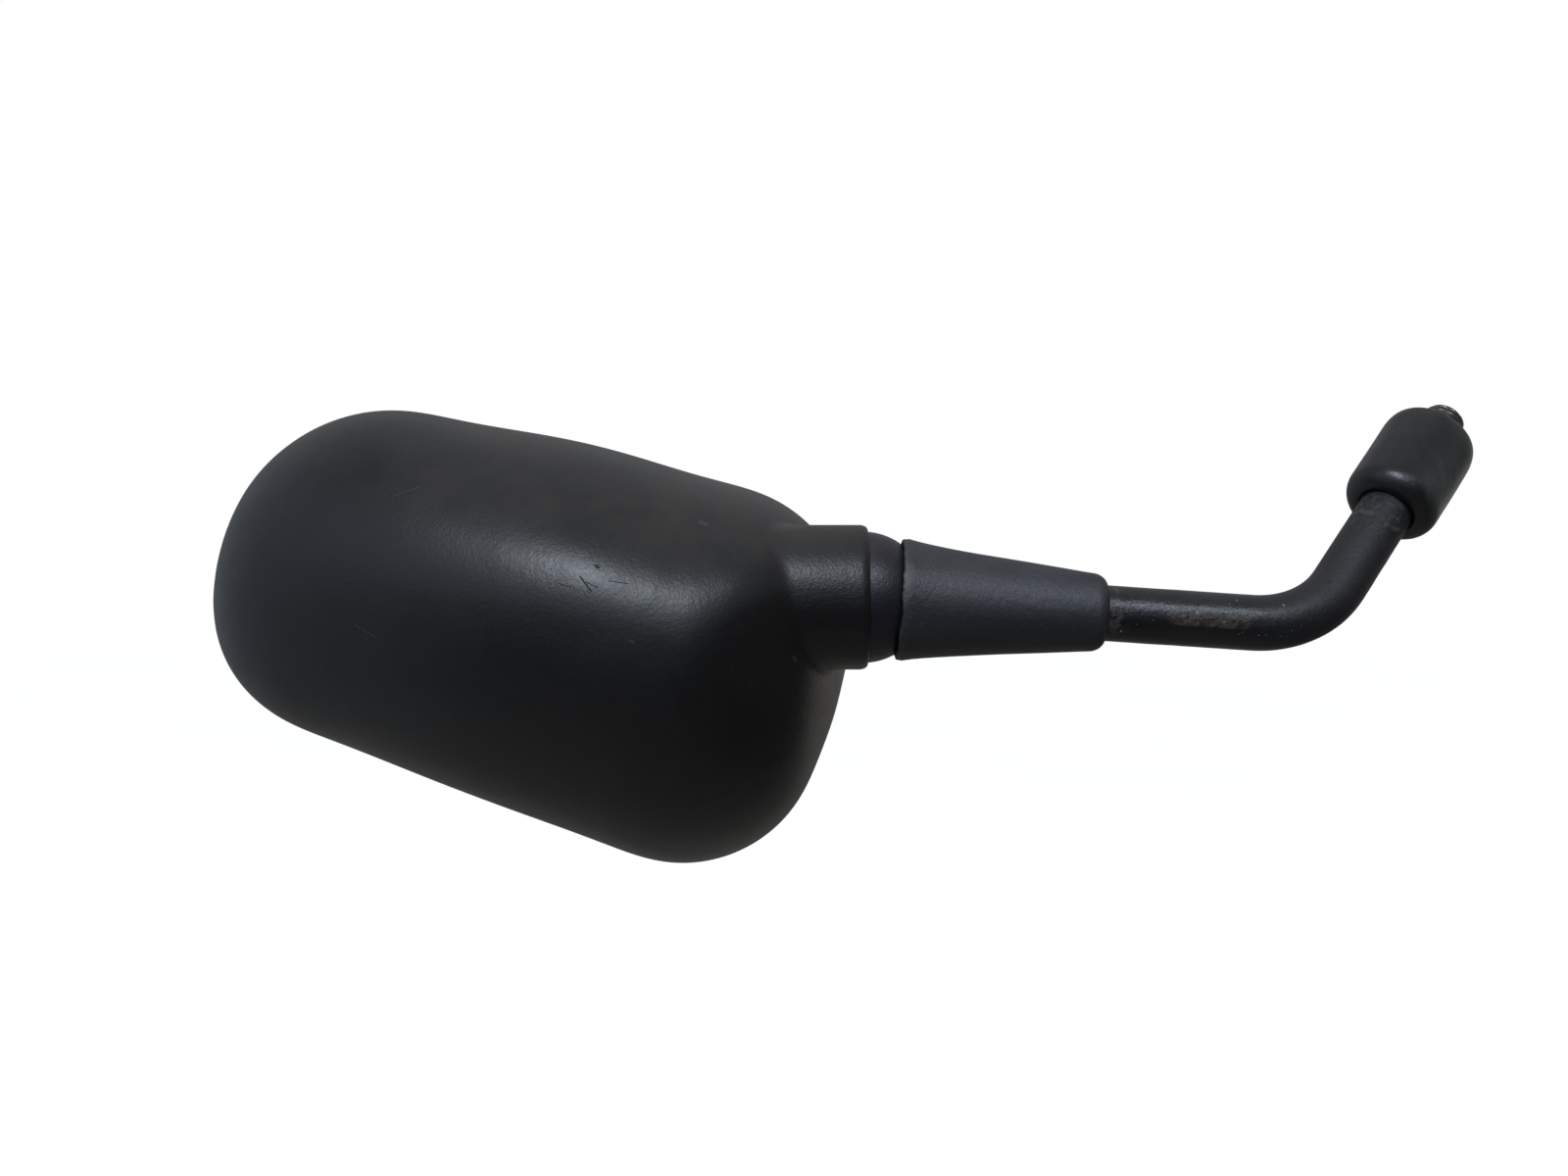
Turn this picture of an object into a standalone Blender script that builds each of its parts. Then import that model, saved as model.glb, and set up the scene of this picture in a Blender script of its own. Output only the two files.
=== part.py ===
"""Motorcycle / scooter rear-view mirror on a bent stem, as an assembly.

Units: metres (the constants below are in millimetres and go through MM).
Frame: +X from the head's outer end towards the stem, +Y the way the glass
looks, +Z up.  The origin is the centre of the stud's flat tip, the end that
screws into the handlebar clamp.

The head (housing, glass, bezel, holder) swivels on a ball stud whose centre
is BALL.  A nylon two-part socket in the housing's neck is pressed on the
ball by a coil spring and a threaded plug.  A hollow dome closes the neck's
mouth at every angle, and a tapered rubber boot runs from it down the stem.
"""
import bpy
import bmesh
import math
import numpy as np
from mathutils import Vector, Matrix

MM = 0.001

# ------------------------------------------------------------------ layout
STEM_DROP_DEG = 3.75          # the stem's first leg falls by this towards +X
LEG1 = 102.15                 # ball centre to the corner of the bend
LEG2 = 73.9                   # corner of the bend to the stud's tip
STUD_DIR = Vector((0.577, 0.444, 0.686)).normalized()
BEND_R = 25.0                 # centre-line radius of the bend

# -------------------------------------------------------------------- stem
ROD_R = 6.35
STUD_R = 4.9                  # M10 x 1.25, modelled at its thread's outside
STUD_LEN = 21.5
ROD_START = 14.6              # first leg starts here, measured from the ball
SHANK_R = 4.0
SHANK_END = 27.0
BORE_R = 4.3

# ------------------------------------------------------------- ball joint
BALL_R = 7.0
LINER_IN, LINER_OUT = 7.3, 8.0
SEAT_R = 8.3                  # spherical seat in the nylon halves
SOCKET_R = 9.8                # outside of the nylon halves
HUB_BORE = 10.1
HUB_OUT = 12.0
HUB_BACK = 11.1               # the hub tapers inside the dome's swing
DOME_R, DOME_IN = 14.9, 13.8
DOME_BACK = -3.5              # the dome's skirt ends here at rest
COLLAR_R = 16.4
COLLAR_IN = 15.2
COLLAR_MOUTH = 1.1
RECESS_X = -8.3               # floor of the annular recess in the mouth
NECK_BACK = -22.0

# -------------------------------------------------------------- tapered boot
CONE_START, CONE_END = 8.1, 55.0
CONE_GAP = 0.35

# ------------------------------------------------- lock nut and its cover
NUT_FLATS = 16.0
NUT_H = 8.4
NUT_T = 9.6                   # nut's outer face, measured back from the tip
COVER_R = 11.2
COVER_T0, COVER_T1 = 8.4, 34.8

# -------------------------------------------------------------------- head
# corner circles (x, z, radius) of the outline and the crown of each side,
# anticlockwise seen from the back: low inner, high inner, high outer, low outer
CORNERS = [(-42.6, -30.4, 34.0), (-36.0, -7.0, 34.5),
           (-112.2, 3.4, 41.75), (-122.6, -1.1, 33.0)]
CROWNS = [1.0, 1.75, 0.5, 0.6]
PEAK = (-46.0, -8.0)          # highest point of the back shell
SPINE = (0.575, 0.45, 0.13)   # the spine's share of the height: peak, outer end, rise at the neck
PEAK_Y = -25.0
RIM_Y = 28.6                  # rim, at the glass's centre
GLASS_CENTRE = (-78.0, -4.0)
GLASS_RADIUS = 1200.0         # convex glass
WALL = 2.2
OUTLINE_N = 48
BOSSES = [(-122.0, 17.0), (-117.0, -17.0), (-56.0, 20.0), (-62.0, -40.0)]


# ------------------------------------------------------------------ helpers
def clear_scene():
    for ob in list(bpy.data.objects):
        bpy.data.objects.remove(ob, do_unlink=True)
    for me in list(bpy.data.meshes):
        bpy.data.meshes.remove(me)


def material(name, colour, rough, metal):
    m = bpy.data.materials.new(name)
    m.use_nodes = True
    b = m.node_tree.nodes["Principled BSDF"]
    b.inputs["Base Color"].default_value = (*colour, 1.0)
    b.inputs["Roughness"].default_value = rough
    b.inputs["Metallic"].default_value = metal
    m.diffuse_color = (*colour, 1.0)
    return m


def empty(name, matrix, parent=None):
    e = bpy.data.objects.new(name, None)
    e.empty_display_size = 0.01
    bpy.context.scene.collection.objects.link(e)
    if parent is not None:
        e.parent = parent
    e.matrix_world = matrix
    return e


def frame_at(origin, direction):
    """Matrix with local +Z along direction."""
    rot = direction.normalized().to_track_quat('Z', 'Y').to_matrix().to_4x4()
    return Matrix.Translation(origin) @ rot


def finish(name, bm, mat, parent, angle=35.0):
    """Turn a bmesh, in millimetres, into a named object under parent."""
    bmesh.ops.recalc_face_normals(bm, faces=bm.faces)
    bmesh.ops.scale(bm, vec=(MM, MM, MM), verts=bm.verts)
    me = bpy.data.meshes.new(name)
    bm.to_mesh(me)
    bm.free()
    me.materials.append(mat)
    me.shade_smooth()
    me.set_sharp_from_angle(angle=math.radians(angle))
    ob = bpy.data.objects.new(name, me)
    bpy.context.scene.collection.objects.link(ob)
    if parent is not None:
        ob.parent = parent
    return ob


def loft(bm, rings, close_start=True, close_end=True):
    """Skin a list of rings.  A ring is a list of points, or one point."""
    made = [[bm.verts.new(p) for p in r] for r in rings]
    for a, b in zip(made, made[1:]):
        if len(a) == 1 and len(b) == 1:
            continue
        n = max(len(a), len(b))
        for i in range(n):
            j = (i + 1) % n
            if len(a) == 1:
                bm.faces.new((a[0], b[j], b[i]))
            elif len(b) == 1:
                bm.faces.new((a[i], a[j], b[0]))
            else:
                bm.faces.new((a[i], a[j], b[j], b[i]))
    if close_start and len(made[0]) > 1:
        bm.faces.new(list(reversed(made[0])))
    if close_end and len(made[-1]) > 1:
        bm.faces.new(made[-1])
    return made


def turned(profile, seg, closed=True):
    """Solid of revolution about local Z from (z, r) points around it."""
    bm = bmesh.new()
    rings = []
    for z, r in profile:
        if r < 1e-6:
            rings.append([Vector((0, 0, z))])
        else:
            rings.append([Vector((r * math.cos(2 * math.pi * i / seg),
                                  r * math.sin(2 * math.pi * i / seg), z))
                          for i in range(seg)])
    if closed and profile[0][1] > 1e-6:
        made = loft(bm, rings, False, False)
        a, b = made[-1], made[0]
        for i in range(seg):
            j = (i + 1) % seg
            bm.faces.new((a[i], a[j], b[j], b[i]))
    else:
        loft(bm, rings, False, False)
    return bm


def arc(cz, cr, rad, a0, a1, n):
    """Points (z, r) on an arc; angles in degrees from the +z axis."""
    out = []
    for i in range(n + 1):
        a = math.radians(a0 + (a1 - a0) * i / n)
        out.append((cz + rad * math.cos(a), cr + rad * math.sin(a)))
    return out


def boolean(target, other, op):
    """Apply an exact boolean to target and remove the other object."""
    bpy.context.view_layer.update()
    mod = target.modifiers.new("cut", 'BOOLEAN')
    mod.operation = op
    mod.solver = 'EXACT'
    mod.object = other
    deps = bpy.context.evaluated_depsgraph_get()
    me = bpy.data.meshes.new_from_object(target.evaluated_get(deps))
    target.modifiers.clear()
    old = target.data
    target.data = me
    bpy.data.meshes.remove(old)
    bpy.data.objects.remove(other, do_unlink=True)


def tidy(ob, angle=35.0):
    """Merge slivers that a boolean leaves, and set the smooth shading."""
    bm = bmesh.new()
    bm.from_mesh(ob.data)
    bmesh.ops.remove_doubles(bm, verts=bm.verts, dist=0.00002)
    bmesh.ops.dissolve_degenerate(bm, edges=bm.edges, dist=0.00002)
    bmesh.ops.triangulate(bm, faces=[f for f in bm.faces if len(f.verts) > 4])
    bmesh.ops.recalc_face_normals(bm, faces=bm.faces)
    bm.to_mesh(ob.data)
    bm.free()
    ob.data.shade_smooth()
    ob.data.set_sharp_from_angle(angle=math.radians(angle))


# ------------------------------------------------------------- head outline
def outline(n, inset=0.0):
    """n points of the head's outline, moved inwards by inset."""
    c = CORNERS
    sides = []
    for i in range(4):
        a, b = c[i], c[(i + 1) % 4]
        d = Vector((b[0] - a[0], b[1] - a[1]))
        length = d.length
        u = d / length
        s = (a[2] - b[2]) / length
        m = u * s + Vector((u.y, -u.x)) * math.sqrt(1 - s * s)
        sides.append((Vector(a[:2]) + m * a[2], Vector(b[:2]) + m * b[2], m))
    pts = []
    for i in range(4):
        p, q, m = sides[i]
        for k in range(60):
            t = k / 60
            pts.append(p.lerp(q, t)
                       + m * CROWNS[i] * math.sin(math.pi * t) ** 2)
        centre = Vector(c[(i + 1) % 4][:2])
        rad = c[(i + 1) % 4][2]
        m2 = sides[(i + 1) % 4][2]
        a0 = math.atan2(m.y, m.x)
        a1 = math.atan2(m2.y, m2.x)
        while a1 < a0:
            a1 += 2 * math.pi
        for k in range(60):
            a = a0 + (a1 - a0) * k / 60
            pts.append(centre + Vector((math.cos(a), math.sin(a))) * rad)
    # even spacing along the curve
    total = [0.0]
    for p, q in zip(pts, pts[1:] + pts[:1]):
        total.append(total[-1] + (q - p).length)
    ring = pts + [pts[0]]
    even = []
    k = 0
    for i in range(n):
        want = total[-1] * i / n
        while total[k + 1] < want:
            k += 1
        t = (want - total[k]) / (total[k + 1] - total[k])
        even.append(ring[k].lerp(ring[k + 1], t))
    out = []
    for i in range(n):
        tang = (even[(i + 1) % n] - even[i - 1]).normalized()
        out.append(even[i] - Vector((tang.y, -tang.x)) * inset)
    return out


def sag(x, z):
    """How far the convex glass falls back from its centre."""
    return ((x - GLASS_CENTRE[0]) ** 2 + (z - GLASS_CENTRE[1]) ** 2) / (2 * GLASS_RADIUS)


class Skin:
    """The domed back as a height y over (x, z).

    A spine runs along the head from PEAK.  It falls to the rim at both ends,
    and each cross-section falls from the spine to the rim above and below.
    """

    def __init__(self, inset, peak_y, rim_y):
        self.peak_y, self.rim_y = peak_y, rim_y
        ring = np.array([tuple(p) for p in outline(720, inset)])
        first = int(np.argmax(ring[:, 0]))
        ring = np.roll(ring, -first, axis=0)
        last = int(np.argmin(ring[:, 0]))
        self.upper = ring[:last + 1][::-1]
        self.lower = np.vstack([ring[last:], ring[:1]])
        self.x_min, self.x_max = ring[last, 0], ring[0, 0]

    @staticmethod
    def fall(t, power):
        """1 on the spine, 0 at the rim."""
        k = 0.985
        edge = (1 - k ** power) ** 0.5
        return ((1 - (k * min(max(t, 0.0), 1.0)) ** power) ** 0.5 - edge) / (1 - edge)

    def height(self, x, z):
        top = float(np.interp(x, self.upper[:, 0], self.upper[:, 1]))
        low = float(np.interp(x, self.lower[:, 0], self.lower[:, 1]))
        out = min(max((PEAK[0] - x) / 105.0, 0.0), 1.0)
        near = min(max((x + 42.0) / 28.0, 0.0), 1.0)
        share = SPINE[0] + (SPINE[1] - SPINE[0]) * out + SPINE[2] * near * near * (3 - 2 * near)
        spine = low + share * (top - low)
        if z > spine:
            across = (z - spine) / max(top - spine, 1e-6)
        else:
            across = (spine - z) / max(spine - low, 1e-6)
        if x < PEAK[0]:
            along = self.fall((PEAK[0] - x) / (PEAK[0] - self.x_min), 2.1)
        else:
            along = self.fall((x - PEAK[0]) / (self.x_max - PEAK[0]), 3.35)
        rise = along * self.fall(across, 2.05)
        return self.rim_y - sag(x, z) + (self.peak_y - self.rim_y) * rise


def shell_rings(n, inset, peak_y, rim_y, steps):
    """Rings of the domed back, from its peak to its rim."""
    skin = Skin(inset, peak_y, rim_y)
    peak = Vector(PEAK)
    rings = [[Vector((peak.x, skin.height(*PEAK), peak.y))]]
    rim = outline(n, inset)
    for s in range(1, steps + 1):
        rho = math.sin(math.pi / 2 * s / steps)
        ring = []
        for p in rim:
            q = peak + (p - peak) * rho
            y = skin.height(q.x, q.y) if s < steps else rim_y - sag(p.x, p.y)
            ring.append(Vector((q.x, y, q.y)))
        rings.append(ring)
    return rings


def curved_sheet(n, inset, y_back, y_front, steps=4):
    """A plate of the head's outline that follows the glass's curve."""
    rim = outline(n, inset)
    centre = Vector(GLASS_CENTRE)
    bm = bmesh.new()
    rings = [[Vector((centre.x, y_back, centre.y))]]
    for s in range(1, steps + 1):
        ring = []
        for p in rim:
            q = centre.lerp(p, s / steps)
            ring.append(Vector((q.x, y_back - sag(q.x, q.y), q.y)))
        rings.append(ring)
    for s in range(steps, 0, -1):
        ring = []
        for p in rim:
            q = centre.lerp(p, s / steps)
            ring.append(Vector((q.x, y_front - sag(q.x, q.y), q.y)))
        rings.append(ring)
    rings.append([Vector((centre.x, y_front, centre.y))])
    loft(bm, rings, False, False)
    return bm


def prism(radius, sides, z0, z1, bevel=0.0):
    """Regular prism about Z with its two ends chamfered."""
    prof = ([(z0, radius - bevel), (z0 + bevel * 0.6, radius),
             (z1 - bevel * 0.6, radius), (z1, radius - bevel)]
            if bevel else [(z0, radius), (z1, radius)])
    bm = bmesh.new()
    rings = [[Vector((r * math.cos(2 * math.pi * i / sides),
                      r * math.sin(2 * math.pi * i / sides), z))
              for i in range(sides)] for z, r in prof]
    loft(bm, rings)
    return bm


# -------------------------------------------------------------------- build
clear_scene()

stem_dir = Vector((math.cos(math.radians(STEM_DROP_DEG)), 0.0,
                   -math.sin(math.radians(STEM_DROP_DEG))))
tip_from_ball = stem_dir * LEG1 + STUD_DIR * LEG2
BALL = -tip_from_ball                              # millimetres

root = empty("stem_root", Matrix.Identity(4))
swivel_axis = empty("swivel_axis", frame_at(BALL * MM, stem_dir), root)
liner_axis = empty("liner_axis", Matrix.Translation(BALL * MM), root)
head_pivot = empty("head_pivot", Matrix.Translation(BALL * MM), root)
neck_axis = empty("neck_axis", frame_at(BALL * MM, Vector((1, 0, 0))), head_pivot)
stud_axis = empty("stud_axis", frame_at(Vector((0, 0, 0)), -STUD_DIR), root)

black_shell = material("black_shell", (0.022, 0.023, 0.026), 0.42, 0.0)
black_dome = material("black_dome", (0.018, 0.019, 0.022), 0.35, 0.0)
rubber = material("rubber", (0.020, 0.021, 0.024), 0.55, 0.0)
black_paint = material("black_paint", (0.012, 0.012, 0.014), 0.22, 0.0)
zinc = material("zinc_steel", (0.46, 0.45, 0.43), 0.38, 1.0)
steel = material("bright_steel", (0.55, 0.55, 0.56), 0.25, 1.0)
nylon = material("white_nylon", (0.78, 0.76, 0.70), 0.45, 0.0)
bezel_black = material("bezel_black", (0.020, 0.020, 0.021), 0.5, 0.0)
holder_grey = material("holder_grey", (0.10, 0.10, 0.11), 0.5, 0.0)
foam = material("foam_white", (0.72, 0.72, 0.70), 0.9, 0.0)
mirror = material("mirror_glass", (0.86, 0.88, 0.89), 0.03, 1.0)

# ---- stem rod: bored end, first leg, bend, second leg, shoulder, stud
half = stem_dir.angle(STUD_DIR) / 2
tangent = BEND_R * math.tan(half)
corner = BALL + stem_dir * LEG1
bend_in = corner - stem_dir * tangent
bend_out = corner + STUD_DIR * tangent
side = stem_dir.cross(STUD_DIR).normalized()
to_centre = side.cross(stem_dir).normalized()
bend_centre = bend_in + to_centre * BEND_R


def ring_at(point, direction, radius, seg):
    """A ring about the path; its zero point stays square to the bend."""
    v = side
    w = direction.cross(v).normalized()
    return [point + (v * math.cos(2 * math.pi * i / seg)
                     + w * math.sin(2 * math.pi * i / seg)) * radius
            for i in range(seg)]


SEG = 24
rings = [[BALL + stem_dir * (SHANK_END + 0.4)]]
for s, r in ((SHANK_END + 0.4, BORE_R), (ROD_START, BORE_R), (ROD_START, ROD_R - 0.4),
             (ROD_START + 0.4, ROD_R), (58.0, ROD_R)):
    rings.append(ring_at(BALL + stem_dir * s, stem_dir, r, SEG))
STEPS = 8
for k in range(STEPS + 1):
    a = 2 * half * k / STEPS
    rot = Matrix.Rotation(a, 3, side)
    rings.append(ring_at(bend_centre - (rot @ to_centre) * BEND_R, rot @ stem_dir, ROD_R, SEG))
for t, r in ((STUD_LEN + 0.5, ROD_R), (STUD_LEN, ROD_R - 0.5), (STUD_LEN, STUD_R),
             (0.8, STUD_R), (0.0, STUD_R - 0.8)):
    rings.append(ring_at(STUD_DIR * -t, STUD_DIR, r, SEG))
rings.append([Vector((0, 0, 0))])
bm = bmesh.new()
loft(bm, rings, False, False)
stem_rod = finish("stem_rod", bm, black_paint, root)

# cross hole for the grub screw that locks the ball stud's shank
hole = finish("hole", turned([(2.0, 0), (2.0, 2.0), (9.0, 2.0), (9.0, 0)], 12), zinc, root)
hole.matrix_world = frame_at((BALL + stem_dir * 21.0) * MM, Vector((0, 1, 0)))
boolean(stem_rod, hole, 'DIFFERENCE')
tidy(stem_rod)

grub = finish("grub_screw", turned([(4.45, 0), (4.45, 1.0), (4.9, 1.6), (6.1, 1.6), (6.1, 0.8),
                                    (5.3, 0.8), (5.3, 0)], 12), zinc, root)
grub.matrix_world = frame_at((BALL + stem_dir * 21.0) * MM, Vector((0, 1, 0)))

# ---- ball stud: ball, waist, shank pressed in the stem
neck_z = math.sqrt(BALL_R ** 2 - (SHANK_R - 0.2) ** 2)
prof = [(-6.7, 0.0), (-6.7, math.sqrt(BALL_R ** 2 - 6.7 ** 2))]
a_start = math.degrees(math.acos(-6.7 / BALL_R))
a_end = math.degrees(math.acos(neck_z / BALL_R))
prof += arc(0, 0, BALL_R, a_start, a_end, 9)[1:]
prof += [(12.0, SHANK_R - 0.2), (12.4, SHANK_R), (SHANK_END - 0.6, SHANK_R),
         (SHANK_END, SHANK_R - 0.6), (SHANK_END, 0.0)]
finish("ball_stud", turned(prof, 20), steel, swivel_axis)
bpy.data.objects["ball_stud"].parent = root
bpy.data.objects["ball_stud"].matrix_world = frame_at(BALL * MM, stem_dir)

# ---- dome: hollow hemisphere that closes the neck's mouth
a0 = math.degrees(math.acos(DOME_BACK / DOME_R))
a1 = math.degrees(math.asin((SHANK_R + 0.35) / DOME_R))
b0 = math.degrees(math.acos(DOME_BACK / DOME_IN))
b1 = math.degrees(math.asin((SHANK_R + 0.35) / DOME_IN))
prof = arc(0, 0, DOME_R, a0, a1, 9) + arc(0, 0, DOME_IN, b1, b0, 6)
finish("joint_dome", turned(prof, 36), black_dome, swivel_axis)

# ---- tapered rubber boot over the joint's end of the stem
def cone_r(s):
    return 9.1 + 0.1 * (50.0 - s) + 0.65 * math.exp(-(s - 10.0) / 6.0)


clear_r = DOME_R + CONE_GAP
lip_in = math.sqrt(clear_r ** 2 - CONE_START ** 2)
prof = [(CONE_START, lip_in + 0.1), (CONE_START + 0.05, 13.3), (CONE_START + 0.5, 13.75)]
prof += [(s, cone_r(s)) for s in (10.0, 13.0, 18.0, 28.0, 51.5)]
prof += [(53.3, 8.5), (54.5, 7.8), (CONE_END, 7.05), (CONE_END, ROD_R + 0.3),
         (14.2, ROD_R + 0.3)]
c0 = math.degrees(math.asin((ROD_R + 0.3) / clear_r))
c1 = math.degrees(math.acos(CONE_START / clear_r))
prof += arc(0, 0, clear_r, c0, c1, 4)[:-1]
finish("boot_cone", turned(prof, 36), rubber, root)
bpy.data.objects["boot_cone"].matrix_world = frame_at(BALL * MM, stem_dir)

# ---- lock nut and the rubber cover over it, on the stud's axis
across = NUT_FLATS / math.sqrt(3)
bm = prism(across, 6, NUT_T, NUT_T + NUT_H)
nut = finish("lock_nut", bm, zinc, stud_axis, 25)
nut.matrix_world = frame_at(Vector((0, 0, 0)), -STUD_DIR)
# 30 degree chamfers: common solid with a turned blank
blank = finish("blank", turned([(NUT_T, 0), (NUT_T, 7.7), (NUT_T + 0.9, across + 0.02),
                                (NUT_T + NUT_H - 0.9, across + 0.02),
                                (NUT_T + NUT_H, 7.7), (NUT_T + NUT_H, 0)], 24), zinc, None)
blank.matrix_world = nut.matrix_world.copy()
boolean(nut, blank, 'INTERSECT')
bore = finish("bore", turned([(NUT_T - 1, 0), (NUT_T - 1, STUD_R + 1.4), (NUT_T + 0.1, STUD_R + 0.3),
                              (NUT_T + NUT_H - 0.1, STUD_R + 0.3),
                              (NUT_T + NUT_H + 1, STUD_R + 1.4), (NUT_T + NUT_H + 1, 0)], 20), zinc, None)
bore.matrix_world = nut.matrix_world.copy()
boolean(nut, bore, 'DIFFERENCE')
tidy(nut, 25)

prof = [(COVER_T0, 9.7), (COVER_T0, 10.2), (COVER_T0 + 0.5, 10.8), (COVER_T0 + 1.8, COVER_R),
        (COVER_T1 - 3.0, COVER_R), (COVER_T1 - 1.6, 10.8), (COVER_T1 - 0.6, 9.9),
        (COVER_T1, 8.6), (COVER_T1, ROD_R + 0.3), (20.6, ROD_R + 0.3), (19.4, 9.7)]
cover = finish("nut_cover", turned(prof, 32), rubber, stud_axis)
cover.matrix_world = frame_at(Vector((0, 0, 0)), -STUD_DIR)

# ---- liner: thin nylon shell snapped over the ball
o0 = 49.0
prof = arc(0, 0, LINER_OUT, o0, 170.0, 7) + arc(0, 0, LINER_IN, 170.0, o0 + 0.5, 6)
finish("ball_liner", turned(prof, 20), nylon, liner_axis)
bpy.data.objects["ball_liner"].matrix_world = frame_at(BALL * MM, Vector((1, 0, 0)))

# ---- nylon socket halves
f0 = math.degrees(math.asin(min(1.0, 6.75 / SEAT_R)))
front_x = SEAT_R * math.cos(math.radians(f0))
prof = [(0.15, SEAT_R + 0.001), (0.15, SOCKET_R), (4.4, SOCKET_R), (front_x, SOCKET_R - 0.5)]
prof += arc(0, 0, SEAT_R, f0, 89.0, 4)[:-1]
finish("socket_front", turned(prof, 24), nylon, neck_axis)
prof = [(-0.15, SEAT_R + 0.001), (-0.15, SOCKET_R), (-9.3, SOCKET_R), (-9.8, SOCKET_R - 0.5), (-9.8, 2.2),
        (-math.sqrt(SEAT_R ** 2 - 2.2 ** 2), 2.2)]
prof += arc(0, 0, SEAT_R, 180 - math.degrees(math.asin(2.2 / SEAT_R)), 91.0, 6)[1:-1]
finish("socket_rear", turned(prof, 24), nylon, neck_axis)

# ---- washer, spring and threaded plug behind the socket
finish("spring_washer", turned([(-10.1, 4.0), (-10.1, 9.6), (-10.9, 9.6), (-10.9, 4.0)], 24),
       zinc, neck_axis)

SPRING_R, WIRE_R, TURNS = 7.4, 0.75, 3.0
z_hi, z_lo = -11.2 - WIRE_R, -17.2 + WIRE_R
bm = bmesh.new()
n_pts = 42
rings = []
for k in range(n_pts + 1):
    f = k / n_pts
    a = 2 * math.pi * TURNS * f
    # end coils lie flat
    lift = min(1.0, max(0.0, (f * TURNS - 0.6) / (TURNS - 1.2)))
    centre = Vector((SPRING_R * math.cos(a), SPRING_R * math.sin(a), z_hi + (z_lo - z_hi) * lift))
    out = Vector((math.cos(a), math.sin(a), 0))
    rings.append([centre + (out * math.cos(b) + Vector((0, 0, 1)) * math.sin(b)) * WIRE_R
                  for b in (2 * math.pi * i / 6 for i in range(6))])
loft(bm, rings)
finish("socket_spring", bm, steel, neck_axis, 60)

bm = turned([(-17.5, 0), (-17.5, 9.3), (-18.0, 9.8), (-20.9, 9.8), (-21.4, 9.3), (-21.4, 0)], 24)
plug = finish("socket_plug", bm, zinc, neck_axis)
bpy.context.view_layer.update()
key = finish("key", prism(3.5, 6, -22.0, -19.2), zinc, neck_axis)
boolean(plug, key, 'DIFFERENCE')
tidy(plug, 25)

# ---- housing: domed shell, neck with hub and recess, screw bosses
bm = bmesh.new()
outer = shell_rings(OUTLINE_N, 0.0, PEAK_Y, RIM_Y, 8)
inner = shell_rings(OUTLINE_N, WALL, PEAK_Y + WALL, RIM_Y, 8)
loft(bm, outer + inner[::-1], False, False)
housing = finish("housing", bm, black_shell, head_pivot)
bpy.context.view_layer.update()

# the neck: collar, annular recess round the dome, hub with its bore and lip
cut = finish("cut", turned([(NECK_BACK + 0.5, 0), (NECK_BACK + 0.5, 15.4), (9.0, 15.4), (9.0, 0)], 36),
             black_shell, neck_axis)
boolean(housing, cut, 'DIFFERENCE')
lip = arc(COLLAR_MOUTH - 1.0, COLLAR_R - 1.0, 1.0, 90, 0, 4)
prof = ([(NECK_BACK, HUB_BORE), (NECK_BACK, COLLAR_R)] + lip
        + [(0.5, COLLAR_IN), (RECESS_X, COLLAR_IN), (RECESS_X, HUB_BACK), (-2.0, HUB_OUT), (3.9, HUB_OUT),
           (6.0, 11.3), (6.0, 7.1), (5.1, 7.1), (5.1, HUB_BORE)])
neck = finish("neck", turned(prof, 36), black_shell, neck_axis)
boolean(housing, neck, 'UNION')

# screw bosses, trimmed so that they end inside the wall
bm = bmesh.new()
loft(bm, shell_rings(OUTLINE_N, 1.1, PEAK_Y + 1.1, RIM_Y, 9), False, True)
core = finish("core", bm, black_shell, head_pivot)
back = Skin(0.0, PEAK_Y, RIM_Y)
for k, (bx, bz) in enumerate(BOSSES):
    top = 20.9 - sag(bx, bz)
    floor = back.height(bx, bz)
    down = Matrix.Rotation(math.radians(-90), 4, 'X')     # local +Z along +Y
    at = Matrix.Translation((BALL + Vector((bx, 0, bz))) * MM) @ down
    bm = turned([(floor - 6, 0), (floor - 6, 3.6), (top, 3.6), (top, 0)], 14)
    boss = finish("boss", bm, black_shell, None)
    boss.matrix_world = at
    core_copy = bpy.data.objects.new("core_copy", core.data.copy())
    bpy.context.scene.collection.objects.link(core_copy)
    core_copy.matrix_world = Matrix.Translation(BALL * MM)
    boolean(boss, core_copy, 'INTERSECT')
    boolean(housing, boss, 'UNION')
    bm = turned([(top - 9.0, 0), (top - 9.0, 1.6), (top + 1, 1.6), (top + 1, 0)], 10)
    pilot = finish("pilot", bm, black_shell, None)
    pilot.matrix_world = at
    boolean(housing, pilot, 'DIFFERENCE')
bpy.data.objects.remove(core, do_unlink=True)
tidy(housing)

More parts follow.
